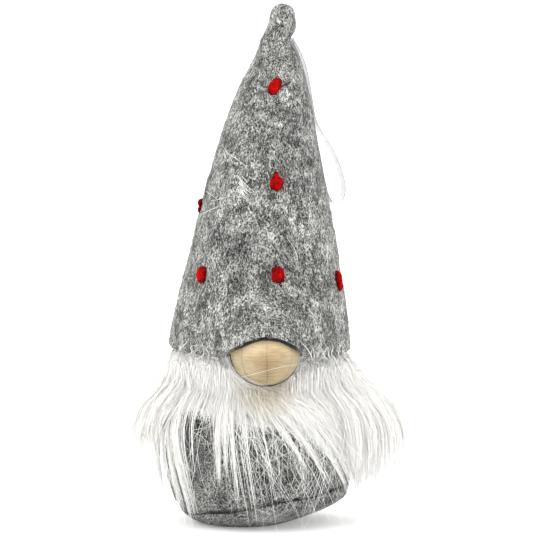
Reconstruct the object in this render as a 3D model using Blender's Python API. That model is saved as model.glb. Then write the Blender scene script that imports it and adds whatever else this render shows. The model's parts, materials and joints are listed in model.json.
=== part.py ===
"""Tomte gnome figurine: a weighted felt ball body, a faux-fur beard, a wooden bead nose and a tall
felt hat with red wool stitches and a ribbon loop to hang it by.

Run with: blender --background --python part.py

Units are metres. +Z is up, the figure faces -Y, and the origin is the centre of its flat base.
"turn" is an angle round the vertical axis, in degrees from the front, positive towards +X.
"""

import math

import bmesh
import bpy
import numpy as np
from mathutils import Matrix, Vector

MM = 0.001
GAP = 0.3 * MM  # clearance that touching meshes keep

# Felt
FELT = 1.6 * MM  # thickness of the grey felt
SEAM_SLIT = 0.5 * MM  # space between the two edges of a butted seam

# Body: a gathered felt sack on a dished base panel
BASE_FLAT_RADIUS = 11.8 * MM  # what the figure stands on
BASE_RIM_RADIUS = 21.3 * MM
BASE_RIM_HEIGHT = 4.5 * MM
BODY_OUTLINE = [  # (height, radius) of the sack's outside, from the base seam to the gathered neck
    (4.9 * MM, 21.6 * MM),
    (7.0 * MM, 24.0 * MM),
    (9.5 * MM, 25.1 * MM),
    (16.0 * MM, 26.0 * MM),
    (24.0 * MM, 26.2 * MM),
    (31.0 * MM, 25.2 * MM),
    (36.5 * MM, 22.7 * MM),
    (40.5 * MM, 18.6 * MM),
    (43.2 * MM, 13.0 * MM),
    (44.6 * MM, 7.5 * MM),
    (45.6 * MM, 4.2 * MM),
]
NECK_RADIUS = 3.8 * MM
NECK_HEIGHT = 46.7 * MM
COLLAR_RADIUS = 5.6 * MM  # the frill above the gathering thread
COLLAR_HEIGHT = 48.6 * MM
BODY_SEAM_TURN = 180.0
BODY_SAG = [  # (height, how far the body's middle stands to the +X side): it leans over on its foot
    (0.0 * MM, -4.5 * MM),
    (2.6 * MM, -3.3 * MM),
    (5.2 * MM, -1.1 * MM),
    (7.4 * MM, 0.1 * MM),
    (9.5 * MM, 0.2 * MM),
    (12.0 * MM, 0.0 * MM),
]

# Ballast and filling
BOARD_RADIUS = 11.2 * MM
BOARD_THICKNESS = 1.2 * MM
POUCH_RADIUS = 18.3 * MM
POUCH_BOTTOM = 3.6 * MM
POUCH_TOP = 16.5 * MM
POUCH_NECK = 2.6 * MM
POUCH_CLOTH = 0.5 * MM
FILLING_GAP = 1.5 * MM  # room for the seam thread between the felt and the filling

# Hat
HAT_RADII = [  # (height, radius)
    (51.0 * MM, 26.3 * MM),
    (62.0 * MM, 24.4 * MM),
    (76.0 * MM, 21.4 * MM),
    (92.0 * MM, 18.1 * MM),
    (110.0 * MM, 13.9 * MM),
    (126.0 * MM, 9.3 * MM),
    (133.0 * MM, 6.3 * MM),
    (138.0 * MM, 4.2 * MM),
    (141.6 * MM, 4.0 * MM),
    (145.5 * MM, 3.4 * MM),
    (147.8 * MM, 2.0 * MM),
]
HAT_TOP = 148.8 * MM
HAT_LEAN = [  # (height, how far the hat's middle stands to the +X side)
    (51.0 * MM, 0.6 * MM),
    (70.0 * MM, 1.2 * MM),
    (92.0 * MM, 1.5 * MM),
    (110.0 * MM, 2.6 * MM),
    (126.0 * MM, 4.3 * MM),
    (134.0 * MM, 5.3 * MM),
    (138.6 * MM, 5.0 * MM),
    (141.6 * MM, 6.6 * MM),
    (145.0 * MM, 7.0 * MM),
    (148.8 * MM, 6.8 * MM),
]
HAT_FELT = 1.5 * MM
HAT_SEAM_TURN = 125.0
HAT_SEAM_TOP = 131.0 * MM
BRIM_ARCH = 6.4 * MM  # how far the brim rises over the nose
BRIM_TILT = 0.55 * MM  # how far it sits higher at the -X side, and lower at the +X side
BRIM_ARCH_WIDTH = 8.6 * MM
NOSE_BULGE = 9.1 * MM  # how far the nose pushes the hat's front out
NOSE_BULGE_WIDTH = 11.8 * MM
NOSE_BULGE_HEIGHT = 12.0 * MM
NOSE_BULGE_LEVEL = 54.5 * MM
WADDING_BOTTOM = 49.4 * MM

# Nose: a drilled wooden bead
NOSE_CENTRE = Vector((2.1, -22.4, 52.4)) * MM
NOSE_RADIUS = 10.0 * MM
NOSE_END = 9.5 * MM  # from its middle to its flat ends
NOSE_PAD = 1.0 * MM  # thickness of the glue behind it
NOSE_BORE_RADIUS = 2.0 * MM
NOSE_TURN = 3.3

# Beard: a strip of faux fur on the shoulder of the body
BACKING_TURN = 122.0  # the strip reaches this far round each way
BACKING_BOTTOM = 31.0 * MM
BACKING_TOP = 40.6 * MM
BACKING_CLOTH = 1.0 * MM
PILE_FRONT_TURN = 56.0
PILE_SIDE_TURNS = (60.0, 126.0)
BACKING_OFF = 0.55 * MM  # from the sack's smooth outline to the cloth, so that their facets clear
PILE_GAP = BACKING_OFF + BACKING_CLOTH + 0.55 * MM
BACKING_LEVELS = np.linspace(BACKING_BOTTOM, BACKING_TOP, 4)
PILE_SIDE_OUTLINE = [  # (height, radius) of the outside of the long hair at the sides
    (2.0 * MM, 34.0 * MM),
    (12.0 * MM, 38.5 * MM),
    (25.0 * MM, 39.5 * MM),
    (34.0 * MM, 37.0 * MM),
    (41.0 * MM, 33.0 * MM),
    (47.0 * MM, 28.0 * MM),
]
PILE_FRONT_DEPTH = [  # (height, thickness) of the hair over the front of the body
    (3.0 * MM, 1.4 * MM),
    (20.0 * MM, 2.6 * MM),
    (38.0 * MM, 3.2 * MM),
    (41.2 * MM, 1.6 * MM),
]
PILE_LEFT_SHARE = 0.93
PILE_RIGHT_SHARE = 1.03
SHOULDER_RADIUS = 20.8 * MM  # inside of the side hair above the shoulder, under the brim

# Red wool stitches
STITCHES = [  # (height, turn)
    (72.8 * MM, -51.0),
    (74.0 * MM, 11.0),
    (70.2 * MM, 72.0),
    (72.0 * MM, 139.0),
    (73.0 * MM, -170.0),
    (72.0 * MM, -128.0),
    (91.0 * MM, -88.0),
    (99.8 * MM, 11.5),
    (98.5 * MM, 156.0),
    (125.8 * MM, 3.2),
    (125.0 * MM, 160.0),
    (124.5 * MM, -136.0),
]
STITCH_SIZE = Vector((3.4, 4.8, 2.1)) * MM  # across, along, and proud of the felt

# Hanging loop: a narrow ribbon, its ends sewn into a nick in the hat below the tip
RIBBON_WIDTH = 2.6 * MM
RIBBON_THICKNESS = 0.3 * MM
LOOP_TURN = 125.0
LOOP_MIDDLE = 5.0 * MM  # x of the upright line that the loop's distances are taken from
NICK_WIDTH = 3.4 * MM
NICK_FLOOR = 3.1 * MM  # how far the nick's floor is from that line
NICK_HEIGHTS = (137.4 * MM, 139.8 * MM)
TAIL_THICKNESS = 0.7 * MM
TAIL_HEIGHTS = (137.8 * MM, 139.4 * MM)
LOOP_ROUTE = [  # (distance from the upright line, height) of the ribbon's middle, outer leg first
    (5.3 * MM, 138.7 * MM),
    (6.3 * MM, 137.2 * MM),
    (7.6 * MM, 135.2 * MM),
    (8.9 * MM, 132.7 * MM),
    (9.9 * MM, 130.1 * MM),
    (11.0 * MM, 126.0 * MM),
    (12.0 * MM, 121.0 * MM),
    (13.2 * MM, 115.4 * MM),
    (15.2 * MM, 111.6 * MM),
    (17.4 * MM, 108.8 * MM),
    (19.6 * MM, 105.6 * MM),
    (21.8 * MM, 101.4 * MM),
    (23.3 * MM, 97.2 * MM),
    (23.7 * MM, 93.6 * MM),
    (22.4 * MM, 91.0 * MM),
    (19.8 * MM, 90.6 * MM),
    (17.9 * MM, 93.0 * MM),
    (16.6 * MM, 97.0 * MM),
    (15.4 * MM, 102.0 * MM),
    (14.2 * MM, 107.2 * MM),
    (13.1 * MM, 112.4 * MM),
    (12.0 * MM, 117.6 * MM),
    (10.8 * MM, 122.8 * MM),
    (9.4 * MM, 127.8 * MM),
    (8.1 * MM, 131.8 * MM),
    (6.9 * MM, 134.6 * MM),
    (5.8 * MM, 136.6 * MM),
    (5.1 * MM, 138.0 * MM),
]


def through(points, at):
    """The value at one position on a smooth curve through (position, value) points."""
    places, values = np.array(points).T
    slopes = np.gradient(values, places)
    i = int(np.clip(np.searchsorted(places, at) - 1, 0, len(places) - 2))
    step = places[i + 1] - places[i]
    t = float(np.clip((at - places[i]) / step, 0.0, 1.0))
    return float(
        (2 * t**3 - 3 * t**2 + 1) * values[i]
        + (t**3 - 2 * t**2 + t) * step * slopes[i]
        + (3 * t**2 - 2 * t**3) * values[i + 1]
        + (t**3 - t**2) * step * slopes[i + 1]
    )


def polar(turn, radius, height):
    angle = math.radians(turn)
    return Vector((radius * math.sin(angle), -radius * math.cos(angle), height))


def material(name, colour, roughness=0.9, metallic=0.0):
    made = bpy.data.materials.new(name)
    made.use_nodes = True
    shader = made.node_tree.nodes["Principled BSDF"]
    shader.inputs["Base Color"].default_value = (*colour, 1.0)
    shader.inputs["Roughness"].default_value = roughness
    shader.inputs["Metallic"].default_value = metallic
    return made


def finish(name, bm, look, smooth=True):
    """The bmesh as an object with one material and its faces pointing out."""
    bmesh.ops.recalc_face_normals(bm, faces=bm.faces)
    mesh = bpy.data.meshes.new(name)
    bm.to_mesh(mesh)
    bm.free()
    mesh.materials.append(look)
    if smooth:
        mesh.shade_smooth()
        mesh.set_sharp_from_angle(angle=math.radians(40))
    made = bpy.data.objects.new(name, mesh)
    bpy.context.scene.collection.objects.link(made)
    return made


def bridge(bm, rows, cyclic):
    """Quads between each row of vertices and the next."""
    for low, high in zip(rows, rows[1:]):
        count = len(low)
        for i in range(count if cyclic else count - 1):
            j = (i + 1) % count
            bm.faces.new((low[i], low[j], high[j], high[i]))


def lathe(name, outline, look, segments=32, middle=(0.0, 0.0), closed=True):
    """A turned solid. A closed outline is a ring of (radius, height) points clear of the axis; an open
    one runs from the axis to the axis, without its two end points, which are at the same heights."""
    bm = bmesh.new()
    rows = []
    for radius, height in outline:
        ring = [polar(360 * i / segments, radius, height) for i in range(segments)]
        rows.append([bm.verts.new(p + Vector((*middle, 0))) for p in ring])
    bridge(bm, [*rows, rows[0]] if closed else rows, cyclic=True)
    if not closed:
        bm.faces.new(rows[0])
        bm.faces.new(rows[-1])
    return finish(name, bm, look)


def slab(name, outer, inner, turns, levels, look):
    """A curved closed sheet between two surfaces, each a function of (turn, share of height)."""
    bm = bmesh.new()
    sides = []
    for surface in (outer, inner):
        sides.append([[bm.verts.new(surface(t, v)) for t in turns] for v in levels])
    for side in sides:
        bridge(bm, side, cyclic=False)
    near, far = sides
    bridge(bm, [near[0], far[0]], cyclic=False)
    bridge(bm, [near[-1], far[-1]], cyclic=False)
    for end in (0, -1):
        bridge(bm, [[row[end] for row in near], [row[end] for row in far]], cyclic=False)
    return finish(name, bm, look)


def thread(name, points, diameter, look, cyclic=False):
    """A round thread through the points."""
    curve = bpy.data.curves.new(name, "CURVE")
    curve.dimensions = "3D"
    spline = curve.splines.new("POLY")
    spline.points.add(len(points) - 1)
    for place, point in zip(spline.points, points):
        place.co = (*point, 1.0)
    spline.use_cyclic_u = cyclic
    curve.bevel_depth = diameter / 2
    curve.bevel_resolution = 0
    curve.use_fill_caps = True
    curve.materials.append(look)
    made = bpy.data.objects.new(name, curve)
    bpy.context.scene.collection.objects.link(made)
    return made


def cut(target, cutter):
    """Takes the cutter's shape out of the target, and keeps the cutter out of the model."""
    cutter.hide_render = True
    cutter.display_type = "WIRE"
    modifier = target.modifiers.new("cut_" + cutter.name, "BOOLEAN")
    modifier.operation = "DIFFERENCE"
    modifier.object = cutter


def slit_cutter(name, turn, distances, heights, middle, look):
    """A thin upright blade that opens a butted seam, between two distances and two heights."""
    bm = bmesh.new()
    bmesh.ops.create_cube(bm, size=1.0)
    size = Matrix.Diagonal((SEAM_SLIT, distances[1] - distances[0], heights[1] - heights[0], 1.0))
    place = Matrix.Translation((middle, 0, 0)) @ Matrix.Rotation(math.radians(turn), 4, "Z")
    place = place @ Matrix.Translation((0, -sum(distances) / 2, sum(heights) / 2))
    bmesh.ops.transform(bm, matrix=place @ size, verts=bm.verts)
    return finish(name, bm, look, smooth=False)


def zigzag(surface, turn, heights, swing):
    """Points of a thread that crosses a seam from side to side as it climbs."""
    points = []
    for i, height in enumerate(heights):
        side = swing if i % 2 else -swing
        radius = surface(turn, height).to_2d().length
        points.append(surface(turn + math.degrees(side / radius), height))
    return points


def ribbon_route():
    """The middle of the loop's ribbon, evenly spaced on a smooth curve through its route."""
    places = np.array(LOOP_ROUTE)
    steps = np.linalg.norm(np.diff(places, axis=0), axis=1)
    along = np.concatenate([[0.0], np.cumsum(steps)])
    count = round(along[-1] / (1.6 * MM))
    route = []
    for at in np.linspace(0.0, along[-1], count):
        far = through(list(zip(along, places[:, 0])), at)
        height = through(list(zip(along, places[:, 1])), at)
        route.append(polar(LOOP_TURN, far, height) + Vector((LOOP_MIDDLE, 0, 0)))
    return route


# ---------------------------------------------------------------- surfaces


def body_point(turn, height, inset=0.0):
    return polar(turn, through(BODY_OUTLINE, height) - inset, height)


def arc_from_nose(turn):
    """How far a turn is from the nose, measured round the brim."""
    away = (turn - NOSE_TURN + 180) % 360 - 180
    return math.radians(away) * HAT_RADII[0][1]


def brim_height(turn):
    arch = BRIM_ARCH * math.exp(-((arc_from_nose(turn) / BRIM_ARCH_WIDTH) ** 2))
    return HAT_RADII[0][0] + arch - BRIM_TILT * math.sin(math.radians(turn))


def hat_point(turn, height, inset=0.0, bulge=True):
    """A point of the hat's outside, or of a surface that far inside it."""
    radius = through(HAT_RADII, height) - inset
    if bulge:
        across = (arc_from_nose(turn) / NOSE_BULGE_WIDTH) ** 2
        up = ((height - NOSE_BULGE_LEVEL) / NOSE_BULGE_HEIGHT) ** 2
        radius += NOSE_BULGE * math.exp(-across - up)
    return polar(turn, radius, height) + Vector((through(HAT_LEAN, height), 0, 0))


def side_pile_radius(turn, height, share):
    """Outside of the side hair: full in the middle of its stretch, close to the body at its ends."""
    low, high = PILE_SIDE_TURNS
    place = (abs(turn) - (low + high) / 2) / (high - low)
    close = pile_inner_radius(height) + 3.0 * MM
    full = max(close, through(PILE_SIDE_OUTLINE, height) * share)
    return close + (full - close) * math.cos(place * math.radians(130))


def pile_inner_radius(height):
    if height > BACKING_TOP:
        return SHOULDER_RADIUS
    return max(through(BODY_OUTLINE, height) + PILE_GAP, SHOULDER_RADIUS)


# ---------------------------------------------------------------- parts


def lining(outline, thickness):
    """The outline's points moved in by the thickness, square to it."""
    inside = []
    for i, (radius, height) in enumerate(outline):
        before, after = outline[max(i - 1, 0)], outline[min(i + 1, len(outline) - 1)]
        along = Vector((after[0] - before[0], after[1] - before[1])).normalized()
        inside.append((radius - thickness * along.y, height + thickness * along.x))
    return inside


def base_panel(look):
    """A dished felt disc: flat where the figure stands, its rim turned up to the base seam."""
    dish = [(0.2 * BASE_FLAT_RADIUS, 0.0), (BASE_FLAT_RADIUS, 0.0)]
    for share in (0.35, 0.7, 1.0):
        radius = BASE_FLAT_RADIUS + (BASE_RIM_RADIUS - BASE_FLAT_RADIUS) * share
        dish.append((radius, BASE_RIM_HEIGHT * share**1.33))
    inside = lining(dish, FELT)
    inside[-1] = (BASE_RIM_RADIUS - FELT, BASE_RIM_HEIGHT)
    return lathe("base_panel", [*dish, *reversed(inside)], look, segments=36, closed=False)


def side_panel(look):
    """The sack: one felt strip, butted at the back and gathered to a neck at the top."""
    outside = [(radius, height) for height, radius in BODY_OUTLINE]
    inside = lining(outside, FELT)[:-2]
    inside[0] = (outside[0][0] - FELT, outside[0][1])
    outside += [(NECK_RADIUS, NECK_HEIGHT), (COLLAR_RADIUS, COLLAR_HEIGHT)]
    bore = NECK_RADIUS - 1.4 * FELT
    inside += [(bore, 44.6 * MM), (bore, NECK_HEIGHT), (COLLAR_RADIUS - FELT, COLLAR_HEIGHT)]
    panel = lathe("side_panel", [*outside, *reversed(inside)], look, segments=36)
    low, high = BODY_OUTLINE[0][0] - 1 * MM, 41.0 * MM
    cut(panel, slit_cutter("side_slit", BODY_SEAM_TURN, (12 * MM, 30 * MM), (low, high), 0.0, look))
    return panel


def base_seam_thread(look):
    """The thread that joins the sack to the base, running up and down inside the seam."""
    count = 40
    radius = BASE_RIM_RADIUS - FELT - 1.0 * MM
    points = []
    for i in range(count):
        height = BASE_RIM_HEIGHT + (1.5 * MM if i % 2 else 0.55 * MM)
        points.append(polar(360 * i / count, radius, height) + Vector((through(BODY_SAG, height), 0, 0)))
    return thread("base_seam_thread", points, 0.45 * MM, look, cyclic=True)


def side_seam_thread(look):
    def inner(turn, height):
        return body_point(turn, height, inset=FELT + 1.0 * MM)

    heights = np.arange(8.0, 34.0, 2.0) * MM
    return thread("side_seam_thread", zigzag(inner, BODY_SEAM_TURN, heights, 1.2 * MM), 0.45 * MM, look)


def hat_seam_thread(look):
    def inner(turn, height):
        return hat_point(turn, height, inset=HAT_FELT + 0.8 * MM)

    heights = np.arange(55.0, 124.0, 3.0) * MM
    return thread("hat_seam_thread", zigzag(inner, HAT_SEAM_TURN, heights, 1.2 * MM), 0.45 * MM, look)


def gather_thread(look):
    """The drawn-up thread round the sack's neck."""
    radius = NECK_RADIUS + GAP + 0.55 * MM
    points = [polar(15 * i, radius, NECK_HEIGHT) for i in range(24)]
    return thread("gather_thread", points, 0.7 * MM, look, cyclic=True)


def base_board(look):
    low = FELT + GAP
    outline = [
        (BOARD_RADIUS, low),
        (BOARD_RADIUS, low + BOARD_THICKNESS),
    ]
    return lathe("base_board", outline, look, segments=32, closed=False)


def pouch_outline(inset):
    """The pouch's side from its foot to its shoulder, as (radius, height)."""
    outline = []
    middle = (POUCH_BOTTOM + POUCH_TOP) / 2
    half = (POUCH_TOP - POUCH_BOTTOM) / 2 - inset
    round_edge = POUCH_RADIUS - 8.0 * MM - inset
    for degrees in (-90, -55, -20, 20, 55, 85):
        angle = math.radians(degrees)
        radius = 8.0 * MM + round_edge * math.cos(angle)
        outline.append((radius, middle + half * math.sin(angle)))
    return outline


def ballast_pouch(look):
    """The cloth bag of sand, drawn in to a neck that its tie closes."""
    neck_top = POUCH_TOP + 4.4 * MM
    outside = [*pouch_outline(0.0), (POUCH_NECK + 0.6 * MM, POUCH_TOP + 0.6 * MM), (POUCH_NECK, neck_top)]
    inside = [
        *pouch_outline(POUCH_CLOTH),
        (POUCH_NECK + 0.4 * MM, POUCH_TOP - 0.2 * MM),
        (POUCH_NECK - POUCH_CLOTH, neck_top),
    ]
    bm = bmesh.new()
    segments = 24
    rows = []
    for radius, height in [*outside, *reversed(inside)]:
        rows.append([bm.verts.new(polar(360 * i / segments, radius, height)) for i in range(segments)])
    bridge(bm, rows, cyclic=True)
    bm.faces.new(rows[0])
    bm.faces.new(rows[-1])
    return finish("ballast_pouch", bm, look)


def ballast_fill(look):
    return lathe("ballast_fill", pouch_outline(POUCH_CLOTH + 1.3 * GAP), look, segments=24, closed=False)


def pouch_tie(look):
    radius = POUCH_NECK + GAP + 0.9 * MM
    points = [polar(20 * i, radius, POUCH_TOP + 2.2 * MM) for i in range(18)]
    return thread("pouch_tie", points, 0.9 * MM, look, cyclic=True)


def body_wadding(look):
    """Polyester filling from above the pouch to the gathered neck."""
    low, high = 21.6 * MM, 41.4 * MM
    outline = []
    for height in np.linspace(low, high, 7):
        outline.append((through(BODY_OUTLINE, height + 1.2 * MM) - FELT - FILLING_GAP, height))
    return lathe("body_wadding", outline, look, segments=28, closed=False)


def hat_wadding(look):
    """The filling that holds the hat up, with a hollow where the nose sits."""
    segments = 28
    bm = bmesh.new()
    rows = []
    for height in (WADDING_BOTTOM, *(np.array([56, 66, 78, 92, 106, 118, 128]) * MM)):
        level = max(height, HAT_RADII[0][0])
        ring = []
        for i in range(segments):
            point = hat_point(360 * i / segments, level, inset=HAT_FELT + FILLING_GAP, bulge=False)
            ring.append(bm.verts.new((point.x, point.y, height)))
        rows.append(ring)
    bridge(bm, rows, cyclic=True)
    bm.faces.new(rows[0])
    bm.faces.new(rows[-1])
    wadding = finish("hat_wadding", bm, look)
    hollow = bmesh.new()
    bmesh.ops.create_uvsphere(hollow, u_segments=20, v_segments=12, radius=NOSE_RADIUS + 3 * GAP)
    bmesh.ops.translate(hollow, vec=NOSE_CENTRE, verts=hollow.verts)
    cut(wadding, finish("nose_hollow", hollow, look))
    return wadding


def hat_glue_ring(look):
    """Hot-melt glue between the top of the body and the hat's filling."""
    points = [polar(15 * i, 10.2 * MM, 47.3 * MM) for i in range(24)]
    ring = thread("hat_glue_ring", points, 3.0 * MM, look, cyclic=True)
    ring.data.bevel_resolution = 1
    return ring


def hat_cone(look):
    """The felt hat: one sheet rolled to a cone, butted along a seam at the right of its back, with a
    brim that arches over the nose and a turned-in tip."""
    segments = 36
    levels = [51, 54, 58, 63, 70, 78, 87, 97, 107, 117, 126, 132, 135.6, 138.4, 140.2, 142, 145.4, 147.8]
    follow_brim = [1.0, 0.8, 0.55, 0.25]  # how far each of the lowest rows follows the brim's arch
    bm = bmesh.new()
    rows = []
    for j, level in enumerate(np.array(levels) * MM):
        share = follow_brim[j] if j < len(follow_brim) else 0.0
        ring = []
        for i in range(segments):
            turn = 360 * i / segments + NOSE_TURN
            height = level + share * (brim_height(turn) - HAT_RADII[0][0])
            ring.append(bm.verts.new(hat_point(turn, height)))
        rows.append(ring)
    bridge(bm, rows, cyclic=True)
    top = bm.verts.new((through(HAT_LEAN, HAT_TOP), 0, HAT_TOP))
    for i in range(segments):
        bm.faces.new((rows[-1][i], rows[-1][(i + 1) % segments], top))
    hat = finish("hat_cone", bm, look)
    wall = hat.modifiers.new("felt", "SOLIDIFY")
    wall.thickness = HAT_FELT
    wall.offset = -1.0
    seam = (HAT_RADII[0][0] - 2 * MM, HAT_SEAM_TOP)
    cut(hat, slit_cutter("hat_slit", HAT_SEAM_TURN, (2.5 * MM, 32 * MM), seam, 2.8 * MM, look))
    nick = loop_block("nick", NICK_WIDTH, (NICK_FLOOR, 2 * NICK_FLOOR), NICK_HEIGHTS, look)
    cut(hat, nick)
    return hat


def nose_bead(look):
    """A turned round wooden bead, 20 mm across, cut flat at both ends of its upright bore."""
    end = math.asin(NOSE_END / NOSE_RADIUS)
    outline = [(NOSE_BORE_RADIUS, -NOSE_END)]
    for share in np.linspace(-1.0, 1.0, 13):
        angle = end * share
        outline.append((NOSE_RADIUS * math.cos(angle), NOSE_RADIUS * math.sin(angle)))
    outline.append((NOSE_BORE_RADIUS, NOSE_END))
    bead = lathe("nose_bead", outline, look, segments=28)
    bead.location = NOSE_CENTRE
    return bead


def nose_glue_pad(look):
    """Hot-melt glue between the bead and the shoulder of the body."""
    away = Vector((0.0, 0.62, -0.785)).normalized()
    bm = bmesh.new()
    bmesh.ops.create_cone(bm, cap_ends=True, segments=16, radius1=2.2 * MM, radius2=1.9 * MM, depth=NOSE_PAD)
    turn = away.to_track_quat("Z", "Y").to_matrix().to_4x4()
    place = Matrix.Translation(NOSE_CENTRE + away * (NOSE_RADIUS + 1.4 * GAP + NOSE_PAD / 2))
    bmesh.ops.transform(bm, matrix=place @ turn, verts=bm.verts)
    return finish("nose_glue_pad", bm, look)


def beard_backing(look):
    """The knitted backing of the fur strip, glued round the shoulder."""
    turns = np.linspace(-BACKING_TURN, BACKING_TURN, 29)

    def outside(turn, height):
        return body_point(turn, height, inset=-(BACKING_OFF + BACKING_CLOTH))

    def inside(turn, height):
        return body_point(turn, height, inset=-BACKING_OFF)

    return slab("beard_backing", outside, inside, turns, BACKING_LEVELS, look)


def beard_front_pile(look):
    turns = np.linspace(-PILE_FRONT_TURN, PILE_FRONT_TURN, 15)
    levels = [5.2 * MM, 12 * MM, 20 * MM, 26 * MM, *BACKING_LEVELS]

    def outside(turn, height):
        depth = through(PILE_FRONT_DEPTH, height)
        return polar(turn, through(BODY_OUTLINE, height) + PILE_GAP + depth, height)

    def inside(turn, height):
        return polar(turn, through(BODY_OUTLINE, height) + PILE_GAP, height)

    return slab("beard_front_pile", outside, inside, turns, levels, look)


def beard_side_pile(name, side, share, look):
    low, high = PILE_SIDE_TURNS
    turns = side * np.linspace(low, high, 9)
    levels = [2.4 * MM, 8 * MM, 15 * MM, 23 * MM, *BACKING_LEVELS, 43.6 * MM, 46.8 * MM]

    def outside(turn, height):
        return polar(turn, side_pile_radius(turn, height, share), height)

    def inside(turn, height):
        return polar(turn, pile_inner_radius(height), height)

    return slab(name, outside, inside, turns, levels, look)


def stitch(name, turn, height, look):
    """One plump wool stitch, lying up and down the hat's surface."""
    here = hat_point(turn, height)
    along = (hat_point(turn, height + 1 * MM) - hat_point(turn, height - 1 * MM)).normalized()
    across = (hat_point(turn + 2, height) - hat_point(turn - 2, height)).normalized()
    out = across.cross(along).normalized()
    bm = bmesh.new()
    bmesh.ops.create_uvsphere(bm, u_segments=8, v_segments=6, radius=0.5)
    size = Matrix.Diagonal((*STITCH_SIZE, 1.0))
    turned = Matrix((across, along, out)).transposed().to_4x4()
    proud = STITCH_SIZE.z / 2 + 1.3 * GAP
    place = Matrix.Translation(here + out * proud)
    bmesh.ops.transform(bm, matrix=place @ turned @ size, verts=bm.verts)
    return finish(name, bm, look)


def ribbon_strip(name, route, look):
    """A flat ribbon along the route, its width square to the plane that the loop lies in."""
    half_wide = polar(LOOP_TURN + 90, RIBBON_WIDTH / 2, 0.0)
    bm = bmesh.new()
    rows = []
    for i, point in enumerate(route):
        along = (route[min(i + 1, len(route) - 1)] - route[max(i - 1, 0)]).normalized()
        half_thick = along.cross(half_wide).normalized() * RIBBON_THICKNESS / 2
        corners = [(1, 1), (-1, 1), (-1, -1), (1, -1)]
        rows.append([bm.verts.new(point + half_wide * a + half_thick * b) for a, b in corners])
    bridge(bm, rows, cyclic=True)
    bm.faces.new(rows[0])
    bm.faces.new(rows[-1])
    return finish(name, bm, look)


def loop_block(name, width, distances, heights, look):
    """A straight block on the loop's plane, between two distances and two heights."""
    out = polar(LOOP_TURN, 1.0, 0.0)
    across = polar(LOOP_TURN + 90, 1.0, 0.0)
    bm = bmesh.new()
    bmesh.ops.create_cube(bm, size=1.0)
    size = Matrix.Diagonal((width, distances[1] - distances[0], heights[1] - heights[0], 1.0))
    turned = Matrix((across, out, across.cross(out))).transposed().to_4x4()
    middle = Vector((LOOP_MIDDLE, 0, sum(heights) / 2)) + out * sum(distances) / 2
    bmesh.ops.transform(bm, matrix=Matrix.Translation(middle) @ turned @ size, verts=bm.verts)
    return finish(name, bm, look, smooth=False)


def loop_tail(look):
    """The ribbon's two ends, one on the other, sewn flat to the floor of the nick."""
    near = NICK_FLOOR + GAP
    return loop_block("loop_tail", RIBBON_WIDTH, (near, near + TAIL_THICKNESS), TAIL_HEIGHTS, look)


def lean_body():
    """Leans the foot of the body to one side, level by level, so what doesn't touch still doesn't."""
    for made in bpy.data.objects:
        if made.type != "MESH" or made.hide_render:
            continue
        for vertex in made.data.vertices:
            height = made.location.z + vertex.co.z
            if height < BODY_SAG[-1][0]:
                vertex.co.x += through(BODY_SAG, height)


def main():
    for old in list(bpy.data.objects):
        bpy.data.objects.remove(old)

    felt = material("felt", (0.36, 0.36, 0.34))
    cotton = material("cotton", (0.55, 0.55, 0.52))
    card = material("card", (0.5, 0.42, 0.3))
    sand = material("sand", (0.6, 0.5, 0.35))
    wadding = material("wadding", (0.9, 0.9, 0.88))
    glue = material("glue", (0.85, 0.83, 0.75), roughness=0.3)
    wood = material("wood", (0.75, 0.6, 0.38), roughness=0.5)
    knit = material("knit", (0.75, 0.75, 0.72))
    fur = material("fur", (0.88, 0.88, 0.85), roughness=0.6)
    wool = material("wool", (0.5, 0.01, 0.01), roughness=0.7)
    satin = material("satin", (0.93, 0.93, 0.93), roughness=0.35)

    base_panel(felt)
    base_board(card)
    side_panel(felt)
    base_seam_thread(cotton)
    side_seam_thread(cotton)
    gather_thread(cotton)
    ballast_pouch(cotton)
    ballast_fill(sand)
    pouch_tie(cotton)
    body_wadding(wadding)
    hat_glue_ring(glue)
    hat_wadding(wadding)
    hat_cone(felt)
    hat_seam_thread(cotton)
    nose_bead(wood)
    nose_glue_pad(glue)
    beard_backing(knit)
    beard_front_pile(fur)
    beard_side_pile("beard_left_pile", -1, PILE_LEFT_SHARE, fur)
    beard_side_pile("beard_right_pile", 1, PILE_RIGHT_SHARE, fur)
    for number, (height, turn) in enumerate(STITCHES, start=1):
        stitch(f"stitch_{number:02d}", turn, height, wool)
    loop_tail(satin)
    ribbon_strip("hang_ribbon", ribbon_route(), satin)
    lean_body()


main()
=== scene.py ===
"""The looks of the tomte gnome figurine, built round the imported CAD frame.

Lengths are in metres. +Z is up, the figure faces -Y, and the origin is the centre of its flat base.
"turn" is an angle round the vertical axis, in degrees from the front, positive towards +X.
Arrays of points have their three coordinates in the last axis.
"""

import json
import math

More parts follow.
